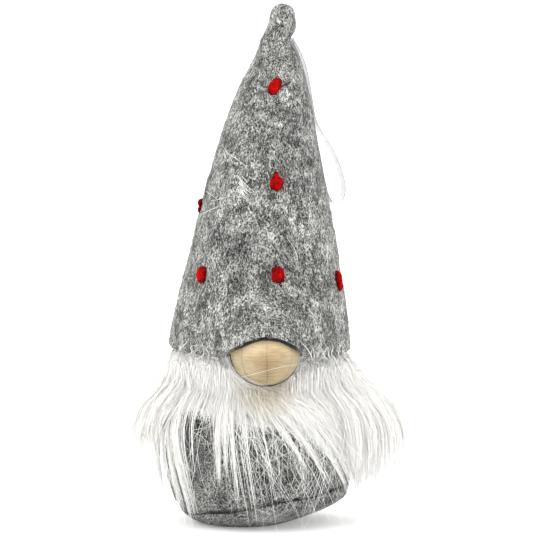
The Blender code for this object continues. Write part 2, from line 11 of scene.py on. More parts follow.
import bpy
import numpy as np
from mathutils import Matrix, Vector

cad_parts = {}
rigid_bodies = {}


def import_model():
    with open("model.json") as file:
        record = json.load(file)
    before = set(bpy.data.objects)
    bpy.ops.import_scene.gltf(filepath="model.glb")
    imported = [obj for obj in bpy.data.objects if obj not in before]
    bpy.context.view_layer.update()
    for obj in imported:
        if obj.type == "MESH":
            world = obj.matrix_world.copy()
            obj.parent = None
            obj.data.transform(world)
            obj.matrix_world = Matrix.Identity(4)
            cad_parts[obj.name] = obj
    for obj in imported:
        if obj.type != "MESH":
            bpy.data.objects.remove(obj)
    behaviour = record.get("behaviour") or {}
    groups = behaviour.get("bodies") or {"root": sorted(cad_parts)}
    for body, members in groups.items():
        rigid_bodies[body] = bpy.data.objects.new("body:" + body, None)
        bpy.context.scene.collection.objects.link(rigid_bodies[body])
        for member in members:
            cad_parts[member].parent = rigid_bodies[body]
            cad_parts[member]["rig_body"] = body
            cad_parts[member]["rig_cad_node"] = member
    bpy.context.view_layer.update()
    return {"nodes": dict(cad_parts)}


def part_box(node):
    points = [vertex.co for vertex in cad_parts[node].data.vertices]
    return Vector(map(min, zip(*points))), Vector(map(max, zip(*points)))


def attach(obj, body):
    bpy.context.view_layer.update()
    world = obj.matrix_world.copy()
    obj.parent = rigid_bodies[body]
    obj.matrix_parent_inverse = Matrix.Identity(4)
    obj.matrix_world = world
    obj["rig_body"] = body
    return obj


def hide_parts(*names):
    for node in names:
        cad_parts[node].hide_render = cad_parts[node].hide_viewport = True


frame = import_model()

MM = 0.001
LAYER_MAP = "OFBake"  # name of the texture map on the strands

# ---------------- shapes, most of them settled by the CAD

BODY_OUTLINE = np.array([  # (height, radius) of the sack's outside, from the base's rim to the neck
    (4.9, 21.6), (7.0, 24.0), (9.5, 25.1), (16.0, 26.0), (24.0, 26.2), (31.0, 25.2),
    (36.5, 22.7), (40.5, 18.6), (43.2, 13.0), (44.6, 7.5), (45.6, 4.2),
]) * MM
BASE_FLAT_RADIUS = 11.8 * MM
BASE_RIM_RADIUS = 21.3 * MM
BASE_RIM_HEIGHT = 4.5 * MM
BODY_SAG = np.array([  # (height, how far the body's middle stands to the +X side)
    (0.0, -4.5), (2.6, -3.3), (5.2, -1.1), (7.4, 0.1), (9.5, 0.2), (12.0, 0.0),
]) * MM
BODY_FELT = 1.6 * MM
BODY_SEAM_TURN = 180.0
NECK_RADIUS = 3.8 * MM
NECK_HEIGHT = 46.7 * MM
NECK_PLEATS = 17
COLLAR_RADIUS = 5.6 * MM
COLLAR_HEIGHT = 48.6 * MM

HAT_RADII = np.array([  # (height, radius)
    (51.0, 26.3), (62.0, 24.4), (76.0, 21.4), (92.0, 18.1), (110.0, 13.9), (126.0, 9.3),
    (133.0, 6.3), (138.0, 4.2), (141.6, 4.0), (145.0, 3.6),
]) * MM
HAT_LEAN = np.array([  # (height, how far the hat's middle stands to the +X side)
    (51.0, 0.6), (70.0, 1.2), (92.0, 1.5), (110.0, 2.6), (126.0, 4.3), (134.0, 5.3),
    (138.6, 5.0), (141.6, 6.6), (145.0, 7.0), (148.8, 6.8),
]) * MM
HAT_BRIM = HAT_RADII[0, 0]
HAT_BRIM_RADIUS = HAT_RADII[0, 1]
HAT_DOME = HAT_RADII[-1]  # (height, radius) where the tip starts to round over
HAT_TOP = 148.8 * MM
HAT_SWAY = 0.4 * MM  # how far the soft felt hangs to the +X side of its cone, halfway up the hat
HAT_SWAY_HEIGHT = 97 * MM
HAT_FELT = 1.5 * MM
HAT_SEAM_TURN = 125.0
HAT_SEAM_TOP = 131.0 * MM
BRIM_ARCH = 6.4 * MM
BRIM_TILT = 0.55 * MM  # how far the brim sits higher at the -X side, and lower at the +X side
BRIM_ARCH_WIDTH = 8.6 * MM
BRIM_FOLLOW_TOP = 68.0 * MM  # the felt follows the brim's arch up to this height
NOSE_BULGE = 9.1 * MM
NOSE_BULGE_WIDTH = 11.8 * MM
NOSE_BULGE_HEIGHT = 12.0 * MM
NOSE_BULGE_LEVEL = 54.5 * MM
NOSE_TURN = 3.3

NOSE_RADIUS = 9.95 * MM
NOSE_END = 9.45 * MM  # from its middle to its flat ends
NOSE_LEVEL = 52.4 * MM
NOSE_BORE_RADIUS = 2.0 * MM

BACKING_TURN = 121.0
BACKING_OFF = 0.6 * MM
BACKING_CLOTH = 0.9 * MM

STITCHES = [  # (height, turn) of the red wool stitches, in the order of the CAD nodes' numbers
    (72.8 * MM, -51.0), (74.0 * MM, 11.0), (70.2 * MM, 72.0), (72.0 * MM, 139.0),
    (73.0 * MM, -170.0), (72.0 * MM, -128.0), (91.0 * MM, -88.0), (99.8 * MM, 11.5),
    (98.5 * MM, 156.0), (125.8 * MM, 3.2), (125.0 * MM, 160.0), (124.5 * MM, -136.0),
]

RIBBON_WIDTH = 2.6 * MM
RIBBON_THICKNESS = 0.22 * MM
LOOP_TURN = 125.0
LOOP_MIDDLE = 5.0 * MM
NICK_HEIGHT = 138.6 * MM  # where the hat's felt is pinched round the loop's ends
LOOP_ROUTE = np.array([  # (distance from the upright line, height) of the ribbon's middle, outer leg first
    (5.3, 138.7), (6.3, 137.2), (7.6, 135.2), (8.9, 132.7), (9.9, 130.1), (11.0, 126.0),
    (12.0, 121.0), (13.2, 115.4), (15.2, 111.6), (17.4, 108.8), (19.6, 105.6), (21.8, 101.4),
    (23.3, 97.2), (23.7, 93.6), (22.4, 91.0), (19.8, 90.6), (17.9, 93.0), (16.6, 97.0),
    (15.4, 102.0), (14.2, 107.2), (13.1, 112.4), (12.0, 117.6), (10.8, 122.8), (9.4, 127.8),
    (8.1, 131.8), (6.9, 134.6), (5.8, 136.6), (5.1, 138.0),
]) * MM


# ---------------- number work


def stack(*parts):
    return np.stack(np.broadcast_arrays(*parts), axis=-1)


def unit(vectors):
    return vectors / np.maximum(np.linalg.norm(vectors, axis=-1, keepdims=True), 1e-12)


def through(table, at):
    """Values of the smooth curve through (place, value) rows, held level past its ends."""
    places, values = table.T
    slopes = np.gradient(values, places)
    at = np.clip(at, places[0], places[-1])
    i = np.clip(np.searchsorted(places, at) - 1, 0, len(places) - 2)
    step = places[i + 1] - places[i]
    t = (at - places[i]) / step
    return (
        (2 * t**3 - 3 * t**2 + 1) * values[i]
        + (t**3 - 2 * t**2 + t) * step * slopes[i]
        + (3 * t**2 - 2 * t**3) * values[i + 1]
        + (t**3 - t**2) * step * slopes[i + 1]
    )


def polar(turn, radius, height):
    angle = np.radians(turn)
    return stack(radius * np.sin(angle), -radius * np.cos(angle), height)


def turn_of(points):
    return np.degrees(np.arctan2(points[..., 0], -points[..., 1]))


NOISE_CELLS = 32  # the noise repeats after this many sizes
NOISE_TABLE = np.random.default_rng(11).random((NOISE_CELLS,) * 3)


def noise(points, size, shift=0.0):
    """Smooth noise from -1 to 1 that changes over about one size."""
    at = points / size + shift
    corner = np.floor(at).astype(int)
    part = at - corner
    part = part * part * (3 - 2 * part)
    total = 0.0
    for step in np.ndindex(2, 2, 2):
        weight = np.prod(np.where(step, part, 1 - part), axis=-1)
        x, y, z = np.moveaxis((corner + step) % NOISE_CELLS, -1, 0)
        total = total + weight * NOISE_TABLE[x, y, z]
    return 2 * total - 1


def bump(distance, width):
    return np.exp(-((distance / width) ** 2))


def column(*values):
    return np.array(values)[:, None]


def around(count):
    """Evenly spaced turns of a whole circle."""
    return np.linspace(-180, 180, count, endpoint=False)


def away_from(turn, other):
    """Signed angle from one turn to another, from -180 to 180."""
    return (turn - other + 180) % 360 - 180


def arc(turn, other, radius):
    """Signed length of the arc from one turn to another."""
    return np.radians(away_from(turn, other)) * radius


# ---------------- surfaces


def body_radius(height):
    """Outside of the body at a height, base rim included, from its own middle."""
    low = np.clip(height / BASE_RIM_HEIGHT, 0, 1)
    rim = BASE_FLAT_RADIUS + (BASE_RIM_RADIUS - BASE_FLAT_RADIUS) * low**0.75
    return np.where(height < BODY_OUTLINE[0, 0], rim, through(BODY_OUTLINE, height))


def sag(height):
    """How the body's middle stands to the side at a height."""
    return stack(through(BODY_SAG, np.minimum(height, BODY_SAG[-1, 0])), 0.0, 0.0)


def brim_rise(turn):
    """How far the brim's edge is above the level brim: it tilts, and arches over the nose."""
    beside = arc(turn, NOSE_TURN, HAT_BRIM_RADIUS)
    return BRIM_ARCH * bump(beside, BRIM_ARCH_WIDTH) - BRIM_TILT * np.sin(np.radians(turn))


def hat_radius(turn, height):
    """Outside of the hat before its felt is uneven."""
    above = np.clip((height - HAT_DOME[0]) / (HAT_TOP - HAT_DOME[0]), 0, 1)
    plain = np.where(above > 0, HAT_DOME[1] * np.sqrt(1 - above**2.4), through(HAT_RADII, height))
    beside = arc(turn, NOSE_TURN, HAT_BRIM_RADIUS)
    over = bump(height - NOSE_BULGE_LEVEL, NOSE_BULGE_HEIGHT)
    return plain + NOSE_BULGE * bump(beside, NOSE_BULGE_WIDTH) * over


def hat_point(turn, level, out=0.0):
    """A point of the hat's felt. Level is the height it would have if the brim were straight."""
    share = np.clip((BRIM_FOLLOW_TOP - level) / (BRIM_FOLLOW_TOP - HAT_BRIM), 0, 1) ** 1.2
    height = level + share * brim_rise(turn)
    centre = stack(through(HAT_LEAN, height), 0.0, 0.0)
    point = polar(turn, hat_radius(turn, height) + out, height) + centre
    return point + polar(turn, hat_unevenness(turn, point), 0.0)


def hat_unevenness(turn, point):
    """How far the felt stands out from its smooth shape: slack, lumps, the seam and the stitches' pull."""
    height = point[..., 2]
    slack = np.clip((HAT_TOP - height) / (40 * MM), 0.15, 1)
    out = slack * 0.5 * MM * noise(point, 17 * MM)
    out = out + HAT_SWAY * np.sin(np.radians(turn)) * bump(height - HAT_SWAY_HEIGHT, 24 * MM)
    out = out + 0.16 * MM * noise(point, 3.1 * MM, 5.3) + 0.07 * MM * noise(point, 1.1 * MM, 2.7)
    radius = np.maximum(hat_radius(turn, height), MM)
    seam = arc(turn, HAT_SEAM_TURN, radius)
    sewn = np.clip((HAT_SEAM_TOP - height) / (4 * MM), 0, 1)
    out = out - sewn * (0.75 * MM * bump(seam, 0.35 * MM) + 0.35 * MM * bump(seam, 2.0 * MM))
    for level, stitch_turn in STITCHES:
        apart = np.hypot(arc(turn, stitch_turn, radius), height - level)
        out = out - 0.45 * MM * bump(apart, 2.8 * MM)
    nick = bump(arc(turn, LOOP_TURN, radius), 1.6 * MM) * bump(height - NICK_HEIGHT, 0.9 * MM)
    return out - 0.9 * MM * nick


def seam_height(turn):
    """Where the sack meets the base: higher on the right, a little uneven."""
    wave = 0.35 * np.sin(np.radians(3 * turn + 40)) + 0.25 * np.sin(np.radians(7 * turn))
    return (7.6 + 4.2 * np.sin(np.radians(turn)) + wave) * MM


def body_unevenness(turn, point):
    """The sack's soft lumps and its seam at the back."""
    height = point[..., 2]
    out = 0.45 * MM * noise(point, 11 * MM, 1.9)
    out = out + 0.16 * MM * noise(point, 3.0 * MM, 8.1) + 0.07 * MM * noise(point, 1.1 * MM, 4.4)
    radius = np.maximum(body_radius(height), MM)
    seam = arc(turn, BODY_SEAM_TURN, radius)
    return out - 0.8 * MM * bump(seam, 0.4 * MM) - 0.4 * MM * bump(seam, 2.2 * MM)


def body_point(turn, height, out=0.0):
    point = polar(turn, body_radius(height), height)
    flat = np.clip(height / (2 * MM), 0, 1)
    radius = body_radius(height) + out + flat * body_unevenness(turn, point)
    return polar(turn, radius, height) + sag(height)


# ---------------- meshes


def mesh_object(name, vertices, faces, look):
    """A smooth-shaded object from vertices and a list of face arrays."""
    mesh = bpy.data.meshes.new(name)
    vertices = np.asarray(vertices, np.float32)
    mesh.vertices.add(len(vertices))
    mesh.vertices.foreach_set("co", vertices.ravel())
    corners = np.concatenate([face.ravel() for face in faces]).astype(np.int32)
    sizes = np.concatenate([np.full(len(face), face.shape[1]) for face in faces])
    starts = np.concatenate([[0], np.cumsum(sizes)[:-1]]).astype(np.int32)
    mesh.loops.add(len(corners))
    mesh.loops.foreach_set("vertex_index", corners)
    mesh.polygons.add(len(sizes))
    mesh.polygons.foreach_set("loop_start", starts)
    mesh.update(calc_edges=True)
    mesh.shade_smooth()
    mesh.materials.append(look)
    made = bpy.data.objects.new(name, mesh)
    bpy.context.scene.collection.objects.link(made)
    return made


def shell(name, rows, look, poles=None):
    """A closed skin over rows of rings. The ends close on two poles, or else join each other."""
    rows = np.asarray(rows)
    count, size = rows.shape[:2]
    vertices = rows.reshape(-1, 3)
    ring = np.arange(size)
    after = (ring + 1) % size
    quads = []
    for i in range(count if poles is None else count - 1):
        low, high = i * size, (i + 1) % count * size
        quads.append(stack(low + ring, low + after, high + after, high + ring))
    faces = [np.concatenate(quads)]
    if poles is not None:
        vertices = np.concatenate([vertices, np.asarray(poles)])
        last = (count - 1) * size
        faces.append(stack(after, ring, np.full(size, count * size)))
        faces.append(stack(last + ring, last + after, np.full(size, count * size + 1)))
    corners = vertices[faces[0]]
    middle = vertices.mean(0)
    normal = np.cross(corners[:, 2] - corners[:, 0], corners[:, 3] - corners[:, 1])
    if ((corners.mean(1) - middle) * normal).sum() < 0:
        faces = [face[:, ::-1] for face in faces]
    return mesh_object(name, vertices, faces, look)


def set_painted_shade(piece, painted_shade):
    """Writes how much painted shade each vertex of a shell's rows has."""
    values = np.zeros(len(piece.data.vertices), np.float32)
    values[:painted_shade.size] = painted_shade.ravel()
    piece.data.attributes.new("painted_shade", "FLOAT", "POINT").data.foreach_set("value", values)


def set_depth_shade(piece, here, out):
    """Writes painted shade by how deep each vertex of a stitch lies: from 0 on top to 0.9 at the felt."""
    places = np.empty(len(piece.data.vertices) * 3, np.float32)
    piece.data.vertices.foreach_get("co", places)
    rise = (places.reshape(-1, 3) - here) @ out / MM
    set_painted_shade(piece, np.clip(1.15 - rise / 1.5, 0, 0.9))


def strand_frames(paths, rng):
    """Two directions square to each point of each path."""
    along = unit(np.gradient(paths, axis=1))
    start = unit(rng.normal(size=(len(paths), 1, 3)))
    side = unit(np.cross(along, start))
    return side, np.cross(along, side)


STRAND_SIDES = 3


def strands(name, paths, radii, look, rng):
    """Thin closed tubes, one for each row of points, with a texture map of one patch for each tube."""
    count, length = paths.shape[:2]
    sides = STRAND_SIDES
    side, up = strand_frames(paths, rng)
    angles = 2 * np.pi * np.arange(sides) / sides
    offset = side[:, :, None] * np.cos(angles)[:, None] + up[:, :, None] * np.sin(angles)[:, None]
    vertices = (paths[:, :, None] + radii[:, :, None, None] * offset).reshape(-1, 3)
    first = (np.arange(count) * length * sides)[:, None, None]
    step = (np.arange(length - 1) * sides)[:, None]
    ring = np.arange(sides)
    after = (ring + 1) % sides
    low, high = first + step, first + step + sides
    quads = stack(low + ring, low + after, high + after, high + ring).reshape(-1, 4)
    start = (first + ring[::-1]).reshape(-1, sides)
    end = (first + (length - 1) * sides + ring).reshape(-1, sides)
    made = mesh_object(name, vertices, [quads, start, end], look)
    grid = math.ceil(math.sqrt(count))
    corners = np.concatenate([face.ravel() for face in (quads, start, end)])
    cell, within = np.divmod(corners, length * sides)
    row, side = np.divmod(within, sides)
    margin, patch = 0.15, 0.7  # shares of each cell of the map
    across = (cell % grid + margin + patch * row / length) / grid
    along = (cell // grid + margin + patch * side / sides) / grid
    made.data.uv_layers.new(name=LAYER_MAP).data.foreach_set(
        "uv", stack(across, along).astype(np.float32).ravel()
    )
    return made


def assign(piece, solid=None, body="figurine"):
    """Puts a piece on its body, and hides the CAD solid that it stands for if it has one."""
    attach(piece, body)
    if solid:
        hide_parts(solid)
    return piece


# ---------------- materials


def node(tree, kind, inputs=None, **settings):
    """A new node. An input is a number, a tuple or another node's output."""
    made = tree.nodes.new("ShaderNode" + kind)
    for name, value in settings.items():
        setattr(made, name, value)
    for name, value in (inputs or {}).items():
        if isinstance(value, bpy.types.NodeSocket):
            tree.links.new(value, made.inputs[name])
        else:
            made.inputs[name].default_value = value
    return made


class Look:
    """A material under construction, in object coordinates."""

    def __init__(self, name, **sockets):
        self.material = bpy.data.materials.new(name)
        self.material.use_nodes = True
        self.tree = self.material.node_tree
        self.shader = self.tree.nodes["Principled BSDF"]
        self.place = node(self.tree, "TexCoord").outputs["Object"]
        for name, value in sockets.items():
            self.shader.inputs[name.replace("_", " ")].default_value = value

    def stretched(self, scale, turn=(0, 0, 0)):
        mapped = node(self.tree, "Mapping", {"Vector": self.place, "Scale": scale, "Rotation": turn})
        return mapped.outputs[0]

    def noise(self, size, detail=3.0, roughness=0.55, distortion=0.0, at=None):
        """Noise whose features are about one size across."""
        inputs = {
            "Vector": at or self.place,
            "Scale": 1 / size,
            "Detail": detail,
            "Roughness": roughness,
            "Distortion": distortion,
        }
        return node(self.tree, "TexNoise", inputs).outputs["Fac"]

    def math(self, operation, *values):
        return node(self.tree, "Math", dict(enumerate(values)), operation=operation).outputs[0]

    def mix(self, *shares):
        """Weighted sum of (output, weight) pairs."""
        total = 0.0
        for value, weight in shares:
            total = self.math("MULTIPLY_ADD", value, weight, total)
        return total

    def ramp(self, value, *stops):
        """Colour or grey by value: stops are (place, colour or grey)."""
        made = node(self.tree, "ValToRGB", {"Fac": value})
        elements = made.color_ramp.elements
        while len(elements) < len(stops):
            elements.new(0.5)
        for element, (place, colour) in zip(elements, stops):
            element.position = place
            element.color = (colour,) * 3 + (1,) if isinstance(colour, (int, float)) else (*colour, 1)
        return made.outputs["Color"]

    def blend(self, share, first, second, how="MIX"):
        inputs = {0: share, 6: first, 7: second}
        return node(self.tree, "Mix", inputs, data_type="RGBA", blend_type=how).outputs[2]

    def times(self, colour, shade):
        return self.blend(1.0, colour, shade, "MULTIPLY")

    def painted_shade(self):
        """The mesh attribute of painted shade that darkens each vertex."""
        return node(self.tree, "Attribute", attribute_name="painted_shade").outputs["Fac"]

    def island(self):
        return node(self.tree, "NewGeometry").outputs["Random Per Island"]

    def relief(self, height, distance, strength):
        inputs = {"Height": height, "Distance": distance, "Strength": strength}
        made = node(self.tree, "Bump", inputs)
        self.tree.links.new(made.outputs[0], self.shader.inputs["Normal"])

    def distance(self, point, at=None):
        """Distance from a point, in centimetres."""
        apart = node(self.tree, "VectorMath", {0: at or self.place, 1: point}, operation="DISTANCE")
        return self.math("MULTIPLY", apart.outputs["Value"], 100.0)

    def oval(self, centre, size, tilt=0.0):
        """Distance from a point as a share of an oval's half sizes. The oval is tilted by degrees, seen
        from the front."""
        inputs = {
            "Vector": self.place,
            "Location": tuple(value * MM for value in centre),
            "Rotation": (0, math.radians(tilt), 0),
            "Scale": tuple(value * MM for value in size),
        }
        placed = node(self.tree, "Mapping", inputs, vector_type="TEXTURE").outputs[0]
        return node(self.tree, "VectorMath", {0: placed}, operation="LENGTH").outputs["Value"]

    def wear(self, **links):
        for name, output in links.items():
            self.tree.links.new(output, self.shader.inputs[name.replace("_", " ")])
        return self.material


BAND_TOP = 150  # millimetres; the height that the felt's bands are shares of


def felt_look(name, upright, bands, patches=(), shade_marks=()):
    """Grey melange felt: wispy fibres, mostly upright, in blotches, with dark specks. Bands are the felt's
    lightness by height. Patches are ovals of painted shade (centre, half sizes, lightness), and the other
    ovals are dark marks of painted shade, as in nicks of the felt (centre, half sizes, tilt), in millimetres.
    A mesh attribute of painted shade darkens it in tucks, at seams and in the brim's gap over the nose."""
    look = Look(name, Roughness=0.95, Sheen_Weight=0.1, Sheen_Roughness=0.6, Specular_IOR_Level=0.1)
    along = look.stretched((1, 1, upright))
    wisps = look.noise(1.3 * MM, 5, 0.74, 1.6, along)
    grain = look.noise(0.32 * MM, 2, 0.6, 0.4, along)
    blotches = look.noise(6.0 * MM, 3, 0.6)
    specks = look.noise(0.5 * MM, 1, 0.5, 0.0, look.stretched((1, 1, 0.75)))
    value = look.mix((wisps, 0.45), (grain, 0.35), (blotches, 0.2))
    colour = look.ramp(value, *zip((0.4, 0.457, 0.5, 0.543, 0.6), MELANGE))
    colour = look.blend(look.ramp(specks, (0.6, 0.0), (0.66, 0.9)), colour, (0.006, 0.006, 0.005, 1))
    height = node(look.tree, "SeparateXYZ", {"Vector": look.place}).outputs[2]
    height = look.math("DIVIDE", height, BAND_TOP * MM)
    band = look.ramp(height, *((place / BAND_TOP, light) for place, light in bands))
    colour = look.times(colour, band)
    # painted shade: each patch darkens the felt in an oval
    for centre, size, light in patches:
        apart = look.math("ADD", look.oval(centre, size), look.math("SUBTRACT", blotches, 0.5))
        colour = look.times(colour, look.ramp(apart, (0.25, light), (1.0, 1.0)))
    # painted shade: the mesh attribute and the dark ovals blend the felt towards near black
    painted_shade = look.painted_shade()
    for centre, size, tilt in shade_marks:
        shade_mark = look.ramp(look.oval(centre, size, tilt), (0.7, 1.0), (1.15, 0.0))
        painted_shade = look.math("MAXIMUM", painted_shade, shade_mark)
    painted_shade = look.mix((painted_shade, 1.0), (grain, 1.2), (wisps, 0.8), (1.0, -1.0))
    painted_shade = look.ramp(painted_shade, (0.5, 0.0), (0.72, 1.0))
    colour = look.blend(painted_shade, colour, (0.006, 0.004, 0.003, 1))
    look.relief(value, 0.45 * MM, 0.9)
    return look.wear(Base_Color=colour)


def fibre_look(name, *tones):
    """Loose fibres, each of a tone between the ones given."""
    look = Look(name, Roughness=0.7, Specular_IOR_Level=0.2)
    colour = look.ramp(look.island(), *tones)
    patchy = look.ramp(look.noise(1.5 * MM), (0.35, 0.8), (0.65, 1.0))
    return look.wear(Base_Color=look.times(colour, patchy))


def fur_look():
    """White long-pile fur: each hair a little warmer or greyer, and painted warm shade close under the nose.
    """
    look = Look("white_fur", Roughness=0.45, Specular_IOR_Level=0.4, Sheen_Weight=0.35, Sheen_Roughness=0.5)
    tones = (
        (0.0, (0.72, 0.7, 0.65)),
        (0.2, (0.91, 0.9, 0.865)),
        (0.45, (0.965, 0.955, 0.93)),
        (0.8, (0.99, 0.985, 0.97)),
    )
    colour = look.ramp(look.island(), *tones)
    # painted shade: the hair close under the nose warmer and darker, for its shade and the light the wooden
    # nose throws back
    under_nose = (2 * MM, -25 * MM, NOSE_LEVEL - NOSE_RADIUS - 1 * MM)
    near = look.ramp(look.distance(under_nose), (0.2, 1.0), (1.0, 0.0))
    colour = look.blend(near, colour, (0.76, 0.7, 0.58, 1), "MULTIPLY")
    patchy = look.ramp(look.noise(2.5 * MM), (0.3, 0.94), (0.6, 1.0))
    return look.wear(Base_Color=look.times(colour, patchy))


def wool_look():
    """Red yarn: patchy reds, fine fibres along it, and painted shade where it lies deep towards the felt."""
    look = Look("red_wool", Roughness=0.6, Specular_IOR_Level=0.03)
    fine = look.noise(0.35 * MM, 3, 0.7, 0.8, look.stretched((1, 1, 0.4)))
    patches = look.noise(1.6 * MM, 2)
    value = look.mix((fine, 0.4), (patches, 0.6))
    reds = (
        (0.36, (0.08, 0.001, 0.001)),
        (0.5, (0.27, 0.001, 0.001)),
        (0.62, (0.46, 0.0015, 0.0015)),
    )
    # painted shade: near black where the yarn lies deep towards the felt
    colour = look.blend(look.painted_shade(), look.ramp(value, *reds), (0.035, 0.0008, 0.0008, 1))
    look.relief(fine, 0.12 * MM, 0.5)
    return look.wear(Base_Color=colour)


def wood_look(centre):
    """Pale turned wood: faint level grain, pores, and the fine lines of its growth rings from end to end.
    Its upper part is lighter with painted light from above, and a spot on its front is darker."""
    look = Look("nose_wood", Roughness=0.5, Specular_IOR_Level=0.35)
    tree = look.tree
    shifted = node(tree, "Mapping", {"Vector": look.place, "Location": tuple(-centre)}).outputs[0]
    parts = node(tree, "SeparateXYZ", {"Vector": shifted})
    turn = look.math("ARCTAN2", parts.outputs[0], look.math("MULTIPLY", parts.outputs[1], -1.0))
    wobble = look.noise(6 * MM, 2)
    turn = look.math("ADD", turn, look.math("MULTIPLY", look.math("SUBTRACT", wobble, 0.5), 0.12))
    eighth = math.pi / 4
    from_line = look.math("PINGPONG", look.math("SUBTRACT", turn, math.radians(3) - 4 * eighth), eighth / 2)
    line = look.ramp(from_line, (0.0, 1.0), (0.035, 0.0))
    low = look.ramp(look.math("MULTIPLY_ADD", parts.outputs[2], -60.0, 0.5), (0.2, 0.35), (0.9, 1.0))
    line = look.times(line, low)
    grain = look.noise(1.4 * MM, 4, 0.6, 0.3, look.stretched((0.35, 0.35, 3.2)))
    cloud = look.noise(5 * MM, 2)
    value = look.mix((grain, 0.6), (cloud, 0.4))
    woods = (
        (0.35, (0.285, 0.215, 0.12)),
        (0.5, (0.375, 0.295, 0.172)),
        (0.66, (0.45, 0.372, 0.232)),
    )
    colour = look.ramp(value, *woods)
    colour = look.blend(look.math("MULTIPLY", line, 0.55), colour, (0.13, 0.085, 0.045, 1))
    # painted light: the upper part up to 1.8 times lighter, where light from above falls
    top_light = look.math("MULTIPLY_ADD", parts.outputs[2], 50.0, 0.5)
    colour = look.times(colour, look.ramp(top_light, (0.05, 0.83), (0.4, 0.86), (0.8, 1.8)))
    spot = look.distance((1.5 * MM, -9.5 * MM, -2.5 * MM), shifted)
    colour = look.times(colour, look.ramp(spot, (0.2, (0.86, 0.79, 0.72)), (0.7, 1.0)))
    pores = look.noise(0.4 * MM, 2, 0.5, 0.0, look.stretched((0.3, 0.3, 2)))
    colour = look.blend(look.ramp(pores, (0.66, 0.0), (0.75, 0.4)), colour, (0.2, 0.14, 0.08, 1))
    look.relief(look.mix((grain, 0.6), (line, -0.5)), 0.12 * MM, 0.6)
    return look.wear(Base_Color=colour, Roughness=look.ramp(grain, (0.3, 0.62), (0.7, 0.45)))


def satin_look():
    """White satin ribbon: fine cross ribs, soft clouds, and painted shade on its edges from a mesh attribute.
    """
    look = Look("white_satin", Specular_IOR_Level=0.4, Sheen_Weight=0.1, Sheen_Roughness=0.3)
    ribs = look.noise(0.22 * MM, 1, 0.5, 0.0, look.stretched((0.3, 0.3, 1.6)))
    soft = look.noise(4 * MM, 2)
    colour = look.ramp(look.mix((ribs, 0.5), (soft, 0.5)), (0.35, 0.78), (0.6, 0.88))
    colour = look.blend(look.painted_shade(), colour, (0.03, 0.03, 0.03, 1))
    look.relief(ribs, 0.05 * MM, 0.6)
    return look.wear(Base_Color=colour, Roughness=look.ramp(ribs, (0.3, 0.32), (0.7, 0.45)))


def cloth_look(name, dark, light, size, roughness=0.85):
    """Plain fibrous stuff in two tones, for what lies under the felt."""
    look = Look(name, Roughness=roughness)
    fine = look.noise(size, 4, 0.6, 0.6)
    broad = look.noise(8 * size, 2)
    value = look.mix((fine, 0.6), (broad, 0.4))
    look.relief(value, 0.5 * size, 0.8)
    return look.wear(Base_Color=look.ramp(value, (0.36, dark), (0.62, light)))


def floor_look():
    look = Look("pale_floor", Roughness=0.9, Specular_IOR_Level=0.1, Emission_Strength=0.2)
    look.shader.inputs["Emission Color"].default_value = (1, 1, 1, 1)
    return look.wear(Base_Color=look.ramp(look.noise(30 * MM), (0.3, 0.93), (0.7, 0.94)))


MELANGE = (
    (0.008, 0.008, 0.007),
    (0.045, 0.045, 0.042),
    (0.14, 0.14, 0.132),
    (0.34, 0.34, 0.32),
    (0.62, 0.62, 0.59),
)
HAT_BANDS = ((51, 0.9), (62, 1.0), (85, 1.0), (100, 0.98), (122, 0.97), (134, 1.02), (146, 1.0))
# painted shade: darker ovals on the front of the hat, over the nose and higher up, for the front's shade
# between lighter edges
HAT_SHADE_PATCHES = (
    ((3, -22, 77), (16, 15, 17), 0.64),
    ((7, -14, 105), (9, 12, 11), 0.8),
)
BODY_BANDS = ((0, 0.88), (5, 0.95), (9, 0.76), (20, 0.64))
# painted shade: two thin dark ovals on the body's front, for the shade in nicks of the felt
BODY_SHADE_MARKS = (
    ((13.6, -22.2, 14.3), (0.4, 8, 1.3), 0),
    ((-16.4, -20.3, 30.4), (1.1, 8, 0.45), 35),
)
HAT_FELT_LOOK = felt_look("hat_felt", 0.5, HAT_BANDS, patches=HAT_SHADE_PATCHES)
BODY_FELT_LOOK = felt_look("body_felt", 0.8, BODY_BANDS, shade_marks=BODY_SHADE_MARKS)
GREY_FIBRES = fibre_look("felt_fibres", (0.0, 0.03), (0.3, 0.12), (0.62, 0.45), (1.0, 0.8))
PALE_FIBRES = fibre_look("pale_hairs", (0.0, (0.7, 0.69, 0.66)), (1.0, (0.93, 0.92, 0.9)))
RED_FIBRES = fibre_look("red_fibres", (0.0, (0.2, 0.002, 0.003)), (1.0, (0.6, 0.03, 0.03)))
FUR = fur_look()
WOOL = wool_look()
SATIN = satin_look()
KNIT = cloth_look("white_knit", (0.5, 0.49, 0.46), (0.8, 0.79, 0.76), 0.8 * MM)
COTTON = cloth_look("grey_thread", (0.18, 0.18, 0.17), (0.42, 0.42, 0.4), 0.3 * MM)
POUCH = cloth_look("pouch_cotton", (0.42, 0.41, 0.38), (0.66, 0.65, 0.61), 0.5 * MM)
WADDING = cloth_look("white_wadding", (0.72, 0.72, 0.7), (0.93, 0.93, 0.92), 1.5 * MM, 0.95)
CARD = cloth_look("grey_board", (0.3, 0.26, 0.2), (0.48, 0.42, 0.32), 0.6 * MM)
SAND = cloth_look("sand", (0.35, 0.26, 0.15), (0.7, 0.6, 0.42), 0.5 * MM)
GLUE = cloth_look("clear_glue", (0.7, 0.66, 0.55), (0.86, 0.84, 0.76), 2.0 * MM, 0.25)
DARK_THREAD = cloth_look("dark_thread", (0.01, 0.003, 0.003), (0.05, 0.01, 0.01), 0.3 * MM)


# ---------------- camera, light and floor


CAMERA_TILT = math.radians(7.0)  # the camera looks down by this angle
CAMERA_DISTANCE = 1.5
CAMERA_TARGET = Vector((3.4 * MM, 0.0, 72.5 * MM))
FLOOR_HALF = 3.0


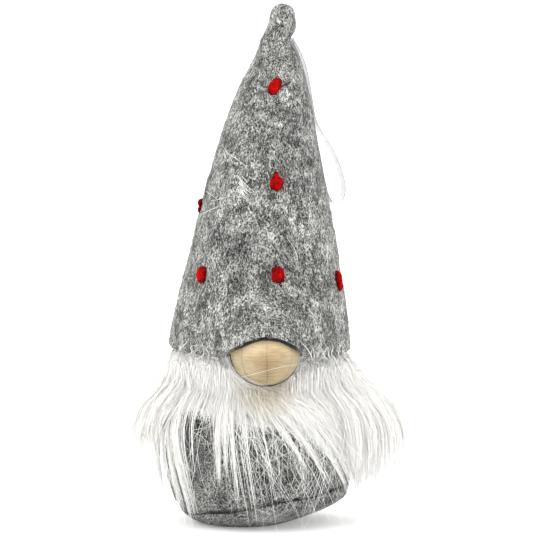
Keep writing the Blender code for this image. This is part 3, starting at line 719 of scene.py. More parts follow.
def add_light(name, place, size, power):
    data = bpy.data.lights.new(name, "AREA")
    data.size = size
    data.energy = power
    made = bpy.data.objects.new(name, data)
    made.location = place
    made.rotation_euler = (CAMERA_TARGET - Vector(place)).to_track_quat("-Z", "Y").to_euler()
    bpy.context.scene.collection.objects.link(made)


def studio():
    """A white room, a soft light above the camera's left and another overhead, and a pale floor."""
    camera = bpy.data.objects.new("camera", bpy.data.cameras.new("camera"))
    back = Vector((0.0, -math.cos(CAMERA_TILT), math.sin(CAMERA_TILT)))
    camera.location = CAMERA_TARGET + back * CAMERA_DISTANCE
    camera.rotation_euler = (-back).to_track_quat("-Z", "Y").to_euler()
    camera.data.sensor_width = 36.0
    camera.data.lens = 350.0
    camera.data.clip_start = 0.05
    bpy.context.scene.collection.objects.link(camera)
    bpy.context.scene.camera = camera

    world = bpy.data.worlds.new("white_room")
    world.use_nodes = True
    background = world.node_tree.nodes["Background"]
    background.inputs["Color"].default_value = (1.0, 1.0, 0.995, 1.0)
    background.inputs["Strength"].default_value = 1.66
    bpy.context.scene.world = world
    bpy.context.scene.view_settings.view_transform = "Standard"
    add_light("key", (-0.35, -0.75, 0.85), 0.5, 2.8)
    add_light("top", (0.2, 0.1, 1.0), 0.7, 2.0)

    corners = np.array([(-1, -1, 0), (1, -1, 0), (1, 1, 0), (-1, 1, 0)]) * FLOOR_HALF
    floor = mesh_object("floor", corners, [np.arange(4)[None]], floor_look())


# ---------------- felt


FUZZ_LIFT = 0.22 * MM
FUZZ_RADIUS = 0.035 * MM


def felt_fuzz(name, surface, count, reach, upright, seed):
    """Short loose fibres that lie on a felt surface, some standing off it. Surface takes (turn, height,
    out). Reach is the lowest and the highest place, and the radius at a height."""
    rng = np.random.default_rng(seed)
    turns = rng.uniform(-180, 180, count)
    low, high, radius_of = reach
    heights = low + (high - low) * rng.beta(1.0, 1.35, count)
    length = rng.uniform(0.9, 3.4, count) * MM
    heading = np.radians(rng.normal(0, 90 * (1 - upright), count)) + np.pi * (rng.random(count) < 0.5)
    curl = rng.normal(0, 0.9, count)
    t = np.linspace(-0.5, 0.5, 5)[None]
    bend = heading[:, None] + curl[:, None] * t
    across = np.cumsum(np.sin(bend), axis=1) / 5 * length[:, None]
    along = np.cumsum(np.cos(bend), axis=1) / 5 * length[:, None]
    radius = np.maximum(radius_of(heights), 2 * MM)[:, None]
    off = rng.gamma(1.2, 0.5, count)[:, None] * FUZZ_LIFT
    out = off * (1 - (2 * t) ** 2 * rng.uniform(-1, 1, count)[:, None] ** 2)
    turn_path = turns[:, None] + np.degrees(across / radius)
    height_path = np.clip(heights[:, None] + along, low + 0.2 * MM, high)
    paths = surface(turn_path, height_path, out + 0.02 * MM)
    radii = FUZZ_RADIUS * rng.uniform(0.6, 1.3, count)[:, None] * np.array([0.35, 1, 1, 1, 0.3])
    assign(strands(name, paths, radii, GREY_FIBRES, rng))


def close_columns(count, turn, width, radius):
    """That many turns of a whole circle, and seven more near one, for a groove of that half width."""
    close = turn + np.degrees(np.linspace(-width, width, 7) / radius)
    return np.sort(np.concatenate([around(count), close]))[None]


def make_hat():
    """One felt sheet rolled to a cone: outside, rounded brim edge and inside, closed at the tip."""
    turns = close_columns(230, HAT_SEAM_TURN, 1.0 * MM, 20 * MM)
    dome = HAT_DOME[0] + (HAT_TOP - HAT_DOME[0]) * np.sin(np.radians([15, 30, 45, 60, 75, 85]))
    levels = np.concatenate([np.linspace(HAT_BRIM, HAT_DOME[0], 205), dome])[:, None]
    ragged = 0.12 * MM * noise(hat_point(turns, HAT_BRIM), 1.3 * MM, 3.3)
    outside = hat_point(turns, levels)
    outside[0, :, 2] += ragged[0]
    inner_levels = np.linspace(HAT_BRIM, HAT_DOME[0], 50)[:, None]
    inside = hat_point(turns, inner_levels, -HAT_FELT)
    edge = []
    for share in (0.2, 0.5, 0.8):
        row = outside[0] + share * (inside[0] - outside[0])
        row[:, 2] -= 0.5 * HAT_FELT * math.sin(math.pi * share) - ragged[0]
        edge.append(row)
    rows = np.concatenate([inside[::-1], np.array(edge)[::-1], outside])
    top = np.array([through(HAT_LEAN, HAT_TOP), 0.0, HAT_TOP])
    inner_top = np.array([through(HAT_LEAN, HAT_DOME[0]), 0.0, HAT_DOME[0] + 1.5 * MM])
    hat = shell("felt_hat", rows, HAT_FELT_LOOK, (inner_top, top))
    shade_over_nose = bump(arc(turns[0], NOSE_TURN, HAT_BRIM_RADIUS), 11 * MM)
    painted_shade = np.zeros(rows.shape[:2])  # painted shade along the brim's edge and just inside it, over the nose, for the shaded gap above the nose
    first = len(inside) + len(edge)
    painted_shade[first - 8:first + 1] = shade_over_nose
    painted_shade[first + 1] = 0.9 * shade_over_nose
    set_painted_shade(hat, painted_shade)
    assign(hat, "hat_cone")
    reach = (HAT_BRIM, HAT_TOP - 0.4 * MM, lambda height: through(HAT_RADII, height))
    felt_fuzz("hat_fibres", hat_point, 7500, reach, 0.62, seed=4)
    return hat


def make_sack(turns, seam):
    """The gathered sack. Its lower edge tucks in at the seam, and its neck flares to a frilled collar."""
    top = BODY_OUTLINE[-1, 0]
    uneven = 1 + 0.5 * noise(polar(turns, BASE_RIM_RADIUS, seam), 5 * MM, 6.1)
    tuck = column(1.5, 0.75, 0.25) * uneven * MM
    climb = column(-0.1, -0.05, 0.15) * MM
    lip = body_point(turns, seam + climb + 0.1 * MM, -tuck)
    shares = np.linspace(0.0, 1.0, 95)[1:, None]
    heights = seam + 0.5 * MM + (top - seam - 0.5 * MM) * shares
    wave = np.sin(np.radians(turns * NECK_PLEATS))
    pleats = 1 + 0.09 * np.clip((heights - 36 * MM) / (9 * MM), 0, 1) * wave
    outside = body_point(turns, heights)
    outside[..., :2] *= pleats[..., None]
    frill = 1 + 0.12 * wave
    neck = np.concatenate([
        polar(turns, NECK_RADIUS * frill, NECK_HEIGHT),
        polar(turns, COLLAR_RADIUS * frill, COLLAR_HEIGHT),
        polar(turns, (COLLAR_RADIUS - BODY_FELT) * frill, COLLAR_HEIGHT),
        polar(turns, NECK_RADIUS - 1.4 * BODY_FELT, NECK_HEIGHT),
    ])
    inner_heights = np.linspace(44.2 * MM, 12.4 * MM, 24)[:, None] + 0 * turns
    inside = polar(turns, body_radius(inner_heights) - BODY_FELT, inner_heights)
    rows = np.concatenate([lip, outside, neck, inside])
    sack = shell("felt_sack", rows, BODY_FELT_LOOK)
    painted_shade = np.zeros(rows.shape[:2])  # painted shade in the tuck, fading above it
    painted_shade[:5] = column(0.8, 0.8, 0.75, 0.5, 0.25) * np.clip(1.6 * uneven - 0.7, 0.2, 1.2)
    set_painted_shade(sack, painted_shade)
    return assign(sack, "side_panel")


def make_base(turns, seam):
    """The round base: flat where it stands, dished up to the seam, and turned in there."""
    flat = np.linspace(0.08, 1, 14)[:, None] * BASE_FLAT_RADIUS
    bottom = polar(turns, flat, 0.0 * flat) + sag(0.0)
    rise = (seam - 0.45 * MM) * np.linspace(0, 1, 26)[1:, None] ** 1.5
    side = body_point(turns, rise)
    brim = body_point(turns, seam + column(-0.15, -0.25) * MM, -column(0.5, 1.3) * MM)
    within = body_point(turns, (seam - 1.2 * MM) * column(1.0, 0.7, 0.5), -BODY_FELT)
    inner_floor = polar(turns, column(0.95, 0.5, 0.1) * BASE_FLAT_RADIUS, BODY_FELT) + sag(0.0)
    rows = np.concatenate([bottom, side, brim, within, inner_floor])
    base = shell("felt_base", rows, BODY_FELT_LOOK, (sag(0.0), sag(0.0) + (0, 0, BODY_FELT)))
    painted_shade = np.zeros(rows.shape[:2])  # painted shade where it turns in
    seam_rows = len(bottom) + len(side)
    painted_shade[seam_rows - 1:seam_rows + 2] = column(0.4, 0.75, 0.8)
    set_painted_shade(base, painted_shade)
    return assign(base, "base_panel")


def make_body():
    """The sack and the base under it, which meet in a tucked seam, and their loose fibres."""
    turns = close_columns(200, BODY_SEAM_TURN - 1.0, 0.9 * MM, 24 * MM)
    seam = seam_height(turns)
    sack = make_sack(turns, seam)
    base = make_base(turns, seam)
    reach = (1.0 * MM, 42 * MM, body_radius)
    felt_fuzz("body_fibres", body_point, 4500, reach, 0.15, seed=5)
    return sack, base


# ---------------- nose


def make_nose():
    """The wooden bead: turned round, with eased flat ends and a drilled bore."""
    low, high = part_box("nose_bead")
    centre = np.array((low + high) / 2)
    turns = around(112)[None]
    end = math.asin(NOSE_END / NOSE_RADIUS)
    angles = np.linspace(-end, end, 60)[:, None]
    skin = polar(turns, NOSE_RADIUS * np.cos(angles), NOSE_RADIUS * np.sin(angles))
    eased = NOSE_RADIUS * math.cos(end)
    end_radii = column(eased - 0.2 * MM, NOSE_BORE_RADIUS + 0.2 * MM, NOSE_BORE_RADIUS)
    end_heights = column(NOSE_END + 0.05 * MM, NOSE_END + 0.05 * MM, NOSE_END - 0.2 * MM)
    top = polar(turns, end_radii, end_heights)
    bore = polar(turns, NOSE_BORE_RADIUS, np.linspace(NOSE_END - 1 * MM, -NOSE_END + 1 * MM, 8)[:, None])
    bottom = top[::-1] * (1, 1, -1)
    rows = np.concatenate([skin, top, bore, bottom]) + centre
    assign(shell("wooden_nose", rows, wood_look(centre)), "nose_bead")
    return centre


# ---------------- wool stitches


YARN_PLIES = 3
YARN_TWIST = 1.1  # radians for each millimetre
STITCH_HAIRS = 90


def yarn(name, points, radius, look, ring=22, grooves=0.14):
    """A plump twisted yarn along a smooth path: a tube whose plies wind round it, tapered at its ends."""
    points = np.asarray(points, float)
    count = len(points)
    along = unit(np.gradient(points, axis=0))
    side = unit(np.cross(along, (0.31, 0.87, 0.11)))
    up = np.cross(along, side)
    s = np.concatenate([[0], np.cumsum(np.linalg.norm(np.diff(points, axis=0), axis=1))])
    angle = np.linspace(0, 2 * np.pi, ring, endpoint=False)[None]
    wound = np.abs(np.cos(YARN_PLIES / 2 * (angle - YARN_TWIST * s[:, None] / MM)))
    taper = np.sin(np.pi * np.linspace(0.03, 0.97, count))[:, None] ** 0.5
    radii = radius * taper * (1 - grooves + grooves * wound)
    rows = points[:, None] + side[:, None] * (radii * np.cos(angle))[..., None]
    rows = rows + up[:, None] * (radii * np.sin(angle))[..., None]
    rows += 0.05 * MM * noise(rows, 0.5 * MM, 1.3)[..., None] * unit(rows - points[:, None])
    return shell(name, rows, look, (points[0], points[-1]))


def stitch_frame(turn, height):
    """Where a stitch sits and its directions across, along and out."""
    here = hat_point(turn, height)
    along = unit(hat_point(turn, height + MM) - hat_point(turn, height - MM))
    across = unit(hat_point(turn + 4, height) - hat_point(turn - 4, height))
    return here, across, along, np.cross(across, along)


def make_stitch(number, height, turn, loops, tails, tilt, rng):
    """One knot of red wool. Lengths are in millimetres: a loop is its middle (across, along), its length,
    its yarn's radius, how far it rises and how far it leans. A tail is its points (across, along, out),
    its radius and its look."""
    here, across, along, out = stitch_frame(turn, height)
    c, s = math.cos(math.radians(tilt)), math.sin(math.radians(tilt))
    across, along = c * across + s * along, c * along - s * across
    name = f"wool_stitch_{number:02d}"
    t = np.linspace(-1, 1, 30)[:, None]
    for i, (shift, middle, length, radius, rise, lean) in enumerate(loops):
        arch = rise * (1 - t**2) - 0.4
        path = here + (across * (shift + lean * t) + along * (middle + length / 2 * t) + out * arch) * MM
        loop = yarn(name if i == 0 else f"{name}_loop_{i + 1}", path, radius * MM, WOOL)
        set_depth_shade(loop, here, out)
        assign(loop, f"stitch_{number:02d}" if i == 0 else None)
    for i, (points, radius, look) in enumerate(tails):
        places = np.array([here + (across * a + along * b + out * o) * MM for a, b, o in points])
        steps = np.linspace(0, 1, len(places))
        fine = np.linspace(0, 1, 14)
        path = np.stack([np.interp(fine, steps, places[:, k]) for k in range(3)], axis=-1)
        tail = yarn(f"{name}_tail_{i + 1}", path, radius * MM, look, ring=8, grooves=0.05)
        assign(tail)
    assign(stitch_fuzz(f"{name}_fuzz", here, across, along, out, loops, rng))


def stitch_fuzz(name, here, across, along, out, loops, rng):
    """Fine red hairs that stand off a knot's loops."""
    count = STITCH_HAIRS
    middles = np.array([(loop[0], loop[1]) for loop in loops])[rng.integers(len(loops), size=count)]
    size = np.array([(loop[3], loop[2] / 2) for loop in loops]).min(0)
    angle = rng.uniform(0, 2 * np.pi, count)
    share = rng.uniform(0.4, 0.8, count)
    high = max(loop[4] for loop in loops)
    root = here + MM * (
        across * (middles[:, 0] + size[0] * share * np.cos(angle))[:, None]
        + along * (middles[:, 1] + size[1] * share * np.sin(angle))[:, None]
        + out * rng.uniform(0.1, 0.8 * high, count)[:, None]
    )
    way = across * np.cos(angle)[:, None] + along * np.sin(angle)[:, None]
    way = unit(way + rng.normal(0, 0.45, (count, 3)))
    t = np.linspace(0, 1, 5)[None, :, None]
    reach = rng.uniform(0.7, 1.7, count)[:, None, None] * MM
    paths = root[:, None] + way[:, None] * t * reach + rng.normal(0, 0.15, (count, 1, 3)) * t**2 * MM
    radii = 0.03 * MM * np.ones((count, 1)) * np.array([1, 1, 0.9, 0.7, 0.3])
    return strands(name, paths, radii, RED_FIBRES, rng)


PLAIN_KNOT = (
    [(-0.7, 0, 4.4, 0.95, 1.2, 0.1), (0.7, 0.1, 4.3, 0.95, 1.3, -0.15), (0.0, 0, 4.6, 0.9, 1.7, 0.2)],
    [],
    0,
)
STITCH_SHAPES = {  # by number: loops, tails and tilt in degrees
    1: (
        [
            (-0.75, 0, 4.7, 1.0, 1.2, 0.05),
            (0.75, 0, 4.6, 1.0, 1.2, -0.05),
            (0.0, -0.1, 4.7, 0.95, 1.6, 0.1),
        ],
        [],
        4,
    ),
    2: (
        [
            (-1.2, -0.3, 4.9, 0.62, 1.1, 0.1),
            (-0.4, -0.2, 5.4, 0.7, 1.6, -0.1),
            (0.45, -0.3, 5.3, 0.7, 1.5, 0.1),
            (1.25, -0.4, 4.8, 0.6, 1.0, -0.1),
        ],
        [],
        0,
    ),
    3: (
        [(-0.2, 1.2, 3.0, 1.15, 1.3, 0.1), (0.1, -1.3, 3.2, 1.1, 1.1, 0.1), (0.0, 0.0, 3.6, 0.8, 1.5, 0.0)],
        [],
        -3,
    ),
    7: ([(0.0, 0.8, 2.6, 0.85, 1.1, 0.1), (0.1, -1.1, 2.0, 0.6, 0.9, 0.0)], [], 0),
    8: (
        [
            (0.0, -0.9, 3.6, 1.4, 1.4, 0.0),
            (-0.8, -0.6, 3.3, 1.15, 1.2, 0.3),
            (0.8, -0.6, 3.3, 1.15, 1.2, -0.3),
            (0.0, 0.5, 4.2, 0.8, 1.5, 0.0),
        ],
        [([(1.1, -1.7, 0.7), (1.8, -2.3, 0.5), (2.3, -3.0, 0.35)], 0.15, DARK_THREAD)],
        0,
    ),
    10: (
        [(-0.6, 0, 4.7, 1.1, 1.2, 0.1), (0.65, 0.1, 4.8, 1.1, 1.2, -0.1), (0.0, 0, 5.1, 1.05, 1.6, 0.0)],
        [([(1.2, 0.1, 1.1), (1.85, 0.5, 1.0), (2.55, 1.45, 0.8), (3.2, 2.85, 0.5)], 0.2, DARK_THREAD)],
        -22,
    ),
}


def make_stitches():
    rng = np.random.default_rng(21)
    for number, (height, turn) in enumerate(STITCHES, start=1):
        loops, tails, tilt = STITCH_SHAPES.get(number, PLAIN_KNOT)
        make_stitch(number, height, turn, loops, tails, tilt, rng)


# ---------------- ribbon


RIBBON_SIDES = 16


def ribbon_rows(route, thickness, across):
    """Rounded flat sections along a route."""
    along = unit(np.gradient(route, axis=0))
    thick = unit(np.cross(along, across))
    angle = np.linspace(0, 2 * np.pi, RIBBON_SIDES, endpoint=False)
    flat = np.sign(np.cos(angle)) * np.abs(np.cos(angle)) ** 0.6 * RIBBON_WIDTH / 2
    deep = np.sin(angle) * thickness / 2
    return route[:, None] + across * flat[None, :, None] + thick[:, None] * deep[None, :, None]


def make_ribbon():
    """The satin loop, on the CAD's route, and its sewn ends in the nick."""
    steps = np.linalg.norm(np.diff(LOOP_ROUTE, axis=0), axis=1)
    along = np.concatenate([[0.0], np.cumsum(steps)])
    at = np.linspace(0, along[-1], 150)
    far = through(np.stack([along, LOOP_ROUTE[:, 0]], axis=-1), at)
    height = through(np.stack([along, LOOP_ROUTE[:, 1]], axis=-1), at)
    route = polar(LOOP_TURN, far, height) + (LOOP_MIDDLE, 0, 0)
    across = polar(LOOP_TURN + 90, 1.0, 0.0)
    rows = ribbon_rows(route, RIBBON_THICKNESS, across)
    ribbon = shell("satin_loop", rows, SATIN, (route[0], route[-1]))
    side = np.cos(np.linspace(0, 2 * np.pi, RIBBON_SIDES, endpoint=False))
    edge_shade = np.where(side < -0.9, 1.0, np.where(side > 0.95, 0.12, 0.0))  # painted shade: dark on the edge facing front, a little on the other edge
    set_painted_shade(ribbon, np.repeat(edge_shade[None], len(rows), axis=0))
    assign(ribbon, "hang_ribbon", "hanging_loop")
    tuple(route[0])
    low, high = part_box("loop_tail")
    centre = np.array((low + high) / 2)
    path = centre + np.linspace(-0.8, 0.8, 12)[:, None] * MM * (0, 0, 1)
    tail = shell("satin_ends", ribbon_rows(path, 0.7 * MM, across), SATIN, (path[0], path[-1]))
    assign(tail, "loop_tail")


# ---------------- beard

LEAN, HEM, FLARE, SHARE = range(1, 5)  # columns of BEARD
BEARD = np.array([  # root turn, sideways lean in degrees, hem height in mm, flare in mm, share of hair
    (-122, 0, 24.0, 5.0, 0.5),
    (-100, -3, 17.0, 8.0, 0.9),
    (-84, -3, 16.0, 8.5, 1.3),
    (-68, 0, 22.0, 6.5, 1.3),
    (-58, -4, 30.5, 3.5, 1.1),
    (-48, -5, 34.2, 2.4, 1.0),
    (-34, -2, 32.6, 2.0, 1.0),
    (-20, 16, 32.0, 1.8, 1.0),
    (-10, 32, 31.8, 1.6, 1.1),
    (0, 38, 31.4, 1.4, 1.2),
    (16, 42, 29.6, 1.4, 1.3),
    (32, 34, 24.0, 2.0, 1.3),
    (46, 22, 20.0, 4.0, 1.3),
    (62, 10, 12.5, 7.0, 1.4),
    (80, 3, 8.5, 11.5, 1.5),
    (98, 0, 9.0, 12.0, 1.2),
    (122, 0, 21.0, 7.0, 0.5),
], float)
LOCKS = [  # root turn, root height in mm, lean, end height in mm, depth, rise, hairs, spread
    (-24, 39.5, 3, 13, 0.9, 1.0, 100, 0.9),
    (-21, 39.0, 5, 17, 1.0, 0.9, 110, 0.8),
    (-18, 38.0, 7, 8, 0.9, 0.5, 40, 0.7),
    (-12, 38.0, 12, 20, 0.9, 0.4, 20, 0.7),
    (-14, 38.0, 10, 1, 0.9, 0.3, 8, 2.2),
    (-5, 38.0, 14, 0, 0.9, 0.3, 8, 2.2),
    (-8, 39.0, 40, 17, 0.9, 0.3, 36, 0.9),
    (-4, 39.0, 43, 13, 0.9, 0.3, 44, 0.9),
    (1, 39.5, 45, 9, 0.9, 0.3, 56, 0.9),
    (7, 39.5, 44, 6, 1.0, 0.3, 60, 0.9),
    (15, 39.5, 41, 5, 1.0, 0.5, 60, 0.9),
    (25, 39.5, 34, 5, 1.0, 0.9, 60, 1.0),
    (35, 39.5, 22, 8, 1.0, 1.0, 60, 0.9),
    (44, 39.5, 18, 9, 0.8, 1.0, 50, 0.9),
    (-92, 38.5, 0, 6, 0.05, 0.6, 40, 1.4),
    (-88, 38.5, 12, 5, 0.05, 0.6, 60, 1.5),
    (-82, 38.5, 15, 3, 0.05, 0.6, 80, 1.5),
    (-76, 38.5, 18, 1, 0.1, 0.6, 80, 1.5),
    (-70, 38.5, 19, 1, 0.2, 0.7, 66, 1.4),
    (-64, 38.5, 18, 2, 0.4, 0.8, 36, 1.3),
    (-57, 38.5, 15, 5, 0.6, 0.9, 12, 1.0),
    (-45, 38.5, 10, 12, 0.9, 0.9, 5, 0.9),
]


FRONT_TURN = 58  # the front hair grows up to this turn on each side
HAIR_POINTS = 14
HAIR_ROOT = 1.4 * MM  # how far outside the felt the hair grows
ROOT_TOP = 40.2 * MM
BACKING_TOP = 40.5 * MM
MOST_TRIANGLES = 190000  # in one piece of fur
GUIDE_POINTS = 64
FACE_RADIUS = 24 * MM  # how far out the hair is that meets the nose
NOSE_SPAN = 30  # the nose takes up this turn on each side of its own
NOSE_GAP = 0.4 * MM  # the least distances from hair to the nose, the brim and the floor
BRIM_GAP = 0.9 * MM
FLOOR_GAP = 0.25 * MM
BRIM_REACH = 2.0 * MM  # hair this far out from the brim is clear of it


def beard_field(turn, field):
    return np.interp(turn, BEARD[:, 0], BEARD[:, field])


def crest_top(turn):
    """How high hair may rise at a turn: to the underside of the brim, or to the underside of the nose."""
    beside = np.sin(np.radians(away_from(turn, NOSE_TURN))) * FACE_RADIUS
    under_nose = NOSE_LEVEL - np.sqrt(np.maximum((NOSE_RADIUS + 0.6 * MM) ** 2 - beside**2, 0))
    near = np.abs(away_from(turn, NOSE_TURN)) < NOSE_SPAN
    under_brim = HAT_BRIM + brim_rise(turn) - 1.2 * MM
    return np.where(near, np.minimum(under_nose, under_brim), under_brim)


def push_out(points, clear, nose):
    """Keeps hair points outside the body and the nose, under the brim and above the floor."""
    flat = points[..., :2]
    turn = turn_of(points)
    radius = np.linalg.norm(flat, axis=-1)
    height = np.clip(points[..., 2], 0, BODY_OUTLINE[-1, 0])
    least = body_radius(height) + sag(height)[..., 0] * np.sin(np.radians(turn)) + clear
    beside = points[..., 2] < NECK_HEIGHT
    scale = np.where((radius < least) & beside, least / np.maximum(radius, 1e-6), 1.0)
    points[..., :2] = flat * scale[..., None]
    size = NOSE_RADIUS + NOSE_GAP
    from_nose = points - nose
    apart = np.linalg.norm(from_nose, axis=-1, keepdims=True)
    points[:] = np.where(apart < size, nose + from_nose / np.maximum(apart, 1e-6) * size, points)
    turn = turn_of(points)
    radius = np.linalg.norm(points[..., :2], axis=-1)
    ceiling = HAT_BRIM + brim_rise(turn) - BRIM_GAP
    under = radius < hat_radius(turn, HAT_BRIM) + BRIM_REACH
    points[..., 2] = np.where(under, np.minimum(points[..., 2], ceiling), points[..., 2])
    points[..., 2] = np.maximum(points[..., 2], FLOOR_GAP)
    return points


def comb(turn, height, lean, hem, depth, rise):
    """Middle lines of hairs. Each leaves the skin, rises towards the brim, bends over and falls in front of
    the body to its hem. Depth runs from 0, on the body, to 1, the outside of the beard."""
    root = body_radius(height) + HAIR_ROOT
    top = np.maximum(crest_top(turn), height + 0.5 * MM)
    crest = height + (top - height) * rise
    drop = np.maximum(crest - hem, 2.5 * MM)
    flare = beard_field(turn, FLARE) * MM
    t = np.linspace(0, 1, GUIDE_POINTS)[None]
    up = 0.16 + 0.10 * rise[:, None]
    first = np.clip(t / up, 0, 1)
    later = np.clip((t - up) / (1 - up), 0, 1)
    level = height[:, None] + (crest - height)[:, None] * np.sin(first * np.pi / 2)
    level = level - drop[:, None] * (0.25 * later**2 + 0.75 * later) * later**0.35
    fallen = np.clip((HAT_BRIM - level) / (26 * MM), 0, 1)
    shape = np.sin(fallen * np.pi / 2)
    stand = (1.2 * MM + 0.9 * MM * depth)[:, None] + (flare * depth)[:, None] * shape
    body = body_radius(np.clip(level, 9 * MM, 40 * MM))
    radius = body + HAIR_ROOT + stand
    inside = root[:, None] + 1.2 * MM * first
    radius = inside + (radius - inside) * np.clip(0.35 * first + later * 5, 0, 1)
    sweep = np.tan(np.radians(lean))[:, None] * drop[:, None] * later / radius
    swept = np.clip(turn[:, None] + np.degrees(sweep), -BACKING_TURN, BACKING_TURN)
    return polar(swept, radius, level)


def resample(paths, ends, points):
    """Points spaced evenly along each path up to its end, a share of its whole."""
    last = (paths.shape[1] - 1) * 0.9999  # just short of the last point, so that one always follows
    at = ends[:, None] * np.linspace(0, 1, points)[None] * last
    low = at.astype(int)
    part = (at - low)[..., None]
    rows = np.arange(len(paths))[:, None]
    return paths[rows, low] * (1 - part) + paths[rows, low + 1] * part


HAIR_CLEARANCE = 2.6 * MM  # the most that a hair is held off the felt


def tuft(guides, children, spread, clump, rng, nose, points, frizz, curls):
    """Hairs round each guide: they start spread over the skin and draw together on the way down."""
    count = len(guides) * children
    guide = np.repeat(guides, children, axis=0)
    path = resample(guide, rng.uniform(0.72, 1.0, count), points)
    turn = turn_of(guide[:, 0])
    offset = (
        polar(turn + 90, 1.0, 0.0) * rng.normal(0, spread, count)[:, None]
        + rng.normal(0, spread * 0.45, count)[:, None] * np.array((0, 0, 1.0))
        + polar(turn, 1.0, 0.0) * np.abs(rng.normal(0, spread * 0.3, count))[:, None]
    )
    t = np.linspace(0, 1, points)[None, :, None]
    path = path + offset[:, None] * (1 - clump * t**1.1)
    for share in (1.0, 0.4):
        phase = rng.uniform(0, 60, (count, 1, 3))
        waves = rng.normal(0, 1, (count, 1, 3)) * frizz * share * MM
        path = path + waves * np.sin(rng.uniform(*curls, (count, 1, 3)) / share * t + phase) * t**0.7
    return push_out(path, HAIR_CLEARANCE * rng.uniform(0.2, 1.0, (count, 1)), nose)


def hair_radii(count, thick, rng, points=HAIR_POINTS):
    """Each hair is thickest a little above its root and thins to a point."""
    shape = np.interp(np.linspace(0, 1, points), [0, 0.15, 0.6, 0.9, 1], [0.7, 1.0, 0.95, 0.6, 0.2])
    return thick * rng.uniform(0.65, 1.25, count)[:, None] * shape


def root_turns(count, rng):
    """Turns of hair roots, by the beard's share of hair."""
    grid = np.linspace(-BACKING_TURN, BACKING_TURN, 500)
    share = np.cumsum(beard_field(grid, SHARE))
    return np.interp(rng.random(count) * share[-1], share, grid)


def backing_low(turn):
    """Lower edge of the fur's backing: it rises to the left of the front."""
    return (31.2 + 4.0 * bump(away_from(turn, -48), 26.0)) * MM


def make_beard(nose):
    """Paths and thicknesses of all the hair, in groups."""
    rng = np.random.default_rng(3)
    groups = []

    def add(name, guides, children, spread, clump, thick, points, frizz=0.5, curls=(2, 7)):
        """Hairs round guides. Spread and thick are in millimetres; curls are the least and most."""
        paths = tuft(guides, children, spread * MM, clump, rng, nose, points, frizz, curls)
        groups.append((name, paths, hair_radii(len(paths), thick * MM, rng, points)))

    def roots(count, low):
        """Turns, shares of the way up the backing, and heights of roots from a lowest share up."""
        turn = root_turns(count, rng)
        share = rng.uniform(low, 1.0, count)
        bottom = backing_low(turn) + 0.6 * MM
        return turn, share, bottom + (ROOT_TOP - bottom) * share

    def hem_of(turn, lean, height):
        """The hem is that of the place where a hair ends, so a leaning hair is followed there first."""
        end = turn
        for _ in range(3):
            fall = height - beard_field(end, HEM) * MM
            end = turn + np.degrees(np.tan(np.radians(lean)) * np.maximum(fall, 0) / (28 * MM))
        return beard_field(end, HEM) * MM

    # the undercoat: fine, soft and dense, up to the brim and down to the hem
    turn, share, height = roots(600, 0.0)
    lean = beard_field(turn, LEAN) + rng.normal(0, 17, len(turn))
    hem = hem_of(turn, lean, height) + rng.normal(1.2, 0.8, len(turn)) * MM
    rise = np.clip(1.5 * share - 0.3 + rng.normal(0, 0.12, len(turn)), 0.0, 1.0)
    depth = np.clip(0.25 + 0.6 * share + rng.normal(0, 0.15, len(turn)), 0.05, 1.0)
    add("undercoat", comb(turn, height, lean, hem, depth, rise), 11, 1.3, 0.15, 0.06, 12, frizz=0.7)

    # the guard hair: longer locks on top of it
    turn, share, height = roots(270, 0.4)
    lean = beard_field(turn, LEAN) + rng.normal(0, 14, len(turn))
    longer = np.interp(turn, (-62, -50, -5, 20), (3.5, 0.5, 0.7, 3.0))
    hem = hem_of(turn, lean, height) - np.abs(rng.normal(0, 1, len(turn))) * longer * MM
    rise = np.clip(0.4 + 0.6 * share + rng.normal(0, 0.1, len(turn)), 0.0, 1.0)
    depth = np.clip(rng.normal(0.95, 0.12, len(turn)), 0.5, 1.15)
    add("guard", comb(turn, height, lean, hem, depth, rise), 12, 1.1, 0.5, 0.075, 14)

    # single locks that stand out
    for place, root, slope, end, far, lift, hairs, spread in LOCKS:
        one = [np.array([value], float) for value in (place, root * MM, slope, end * MM, far, lift)]
        add("locks", comb(*one), hairs, spread, 0.7, 0.085, 14, frizz=0.4)

    # stray hairs across the front of the body and beyond
    turn = np.concatenate([rng.uniform(-84, -56, 24), rng.uniform(-56, 0, 12), rng.uniform(0, 88, 26)])
    share = rng.uniform(0.2, 1.0, len(turn))
    height = backing_low(turn) + 0.6 * MM + (8 * share) * MM
    scatter = np.where(turn < 0, 11, 24)
    lean = np.clip(beard_field(turn, LEAN) * 0.7 + rng.normal(0, 1, len(turn)) * scatter, -62, 62)
    lean = lean + np.where(turn < -40, 10, 0)
    hem = rng.uniform(-4, 22, len(turn)) * MM
    depth = rng.uniform(0.3, 1.2, len(turn))
    add("stray", comb(turn, height, lean, hem, depth, share), 3, 3.2, 0.1, 0.06, 14, frizz=1.6)

    # curly hairs that cling to the felt
    turn = np.concatenate([rng.uniform(-26, 74, 54), rng.uniform(-75, -26, 12)])
    height = backing_low(turn) + rng.uniform(-1, 3, len(turn)) * MM
    lean = np.clip(rng.normal(8, 32, len(turn)), -52, 56) * np.where(turn < -26, 0.5, 1.0)
    hem = rng.uniform(1, 20, len(turn)) * MM
    depth = rng.uniform(0.0, 0.4, len(turn))
    add("curly", comb(turn, height, lean, hem, depth, 0 * turn), 2, 3.0, 0.0, 0.05, 16, 3.2, (3, 8))

    # a few long ones that hang over the base and reach the floor
    turn = rng.uniform(-34, 46, 9)
    height = backing_low(turn) + rng.uniform(0, 3, len(turn)) * MM
    lean = rng.normal(10, 22, len(turn))
    hem = rng.uniform(-5, 2, len(turn)) * MM
    depth = rng.uniform(0.1, 0.7, len(turn))
    add("trailing", comb(turn, height, lean, hem, depth, 0 * turn), 2, 3.0, 0.0, 0.05, 16, 2.4)
    return groups, rng


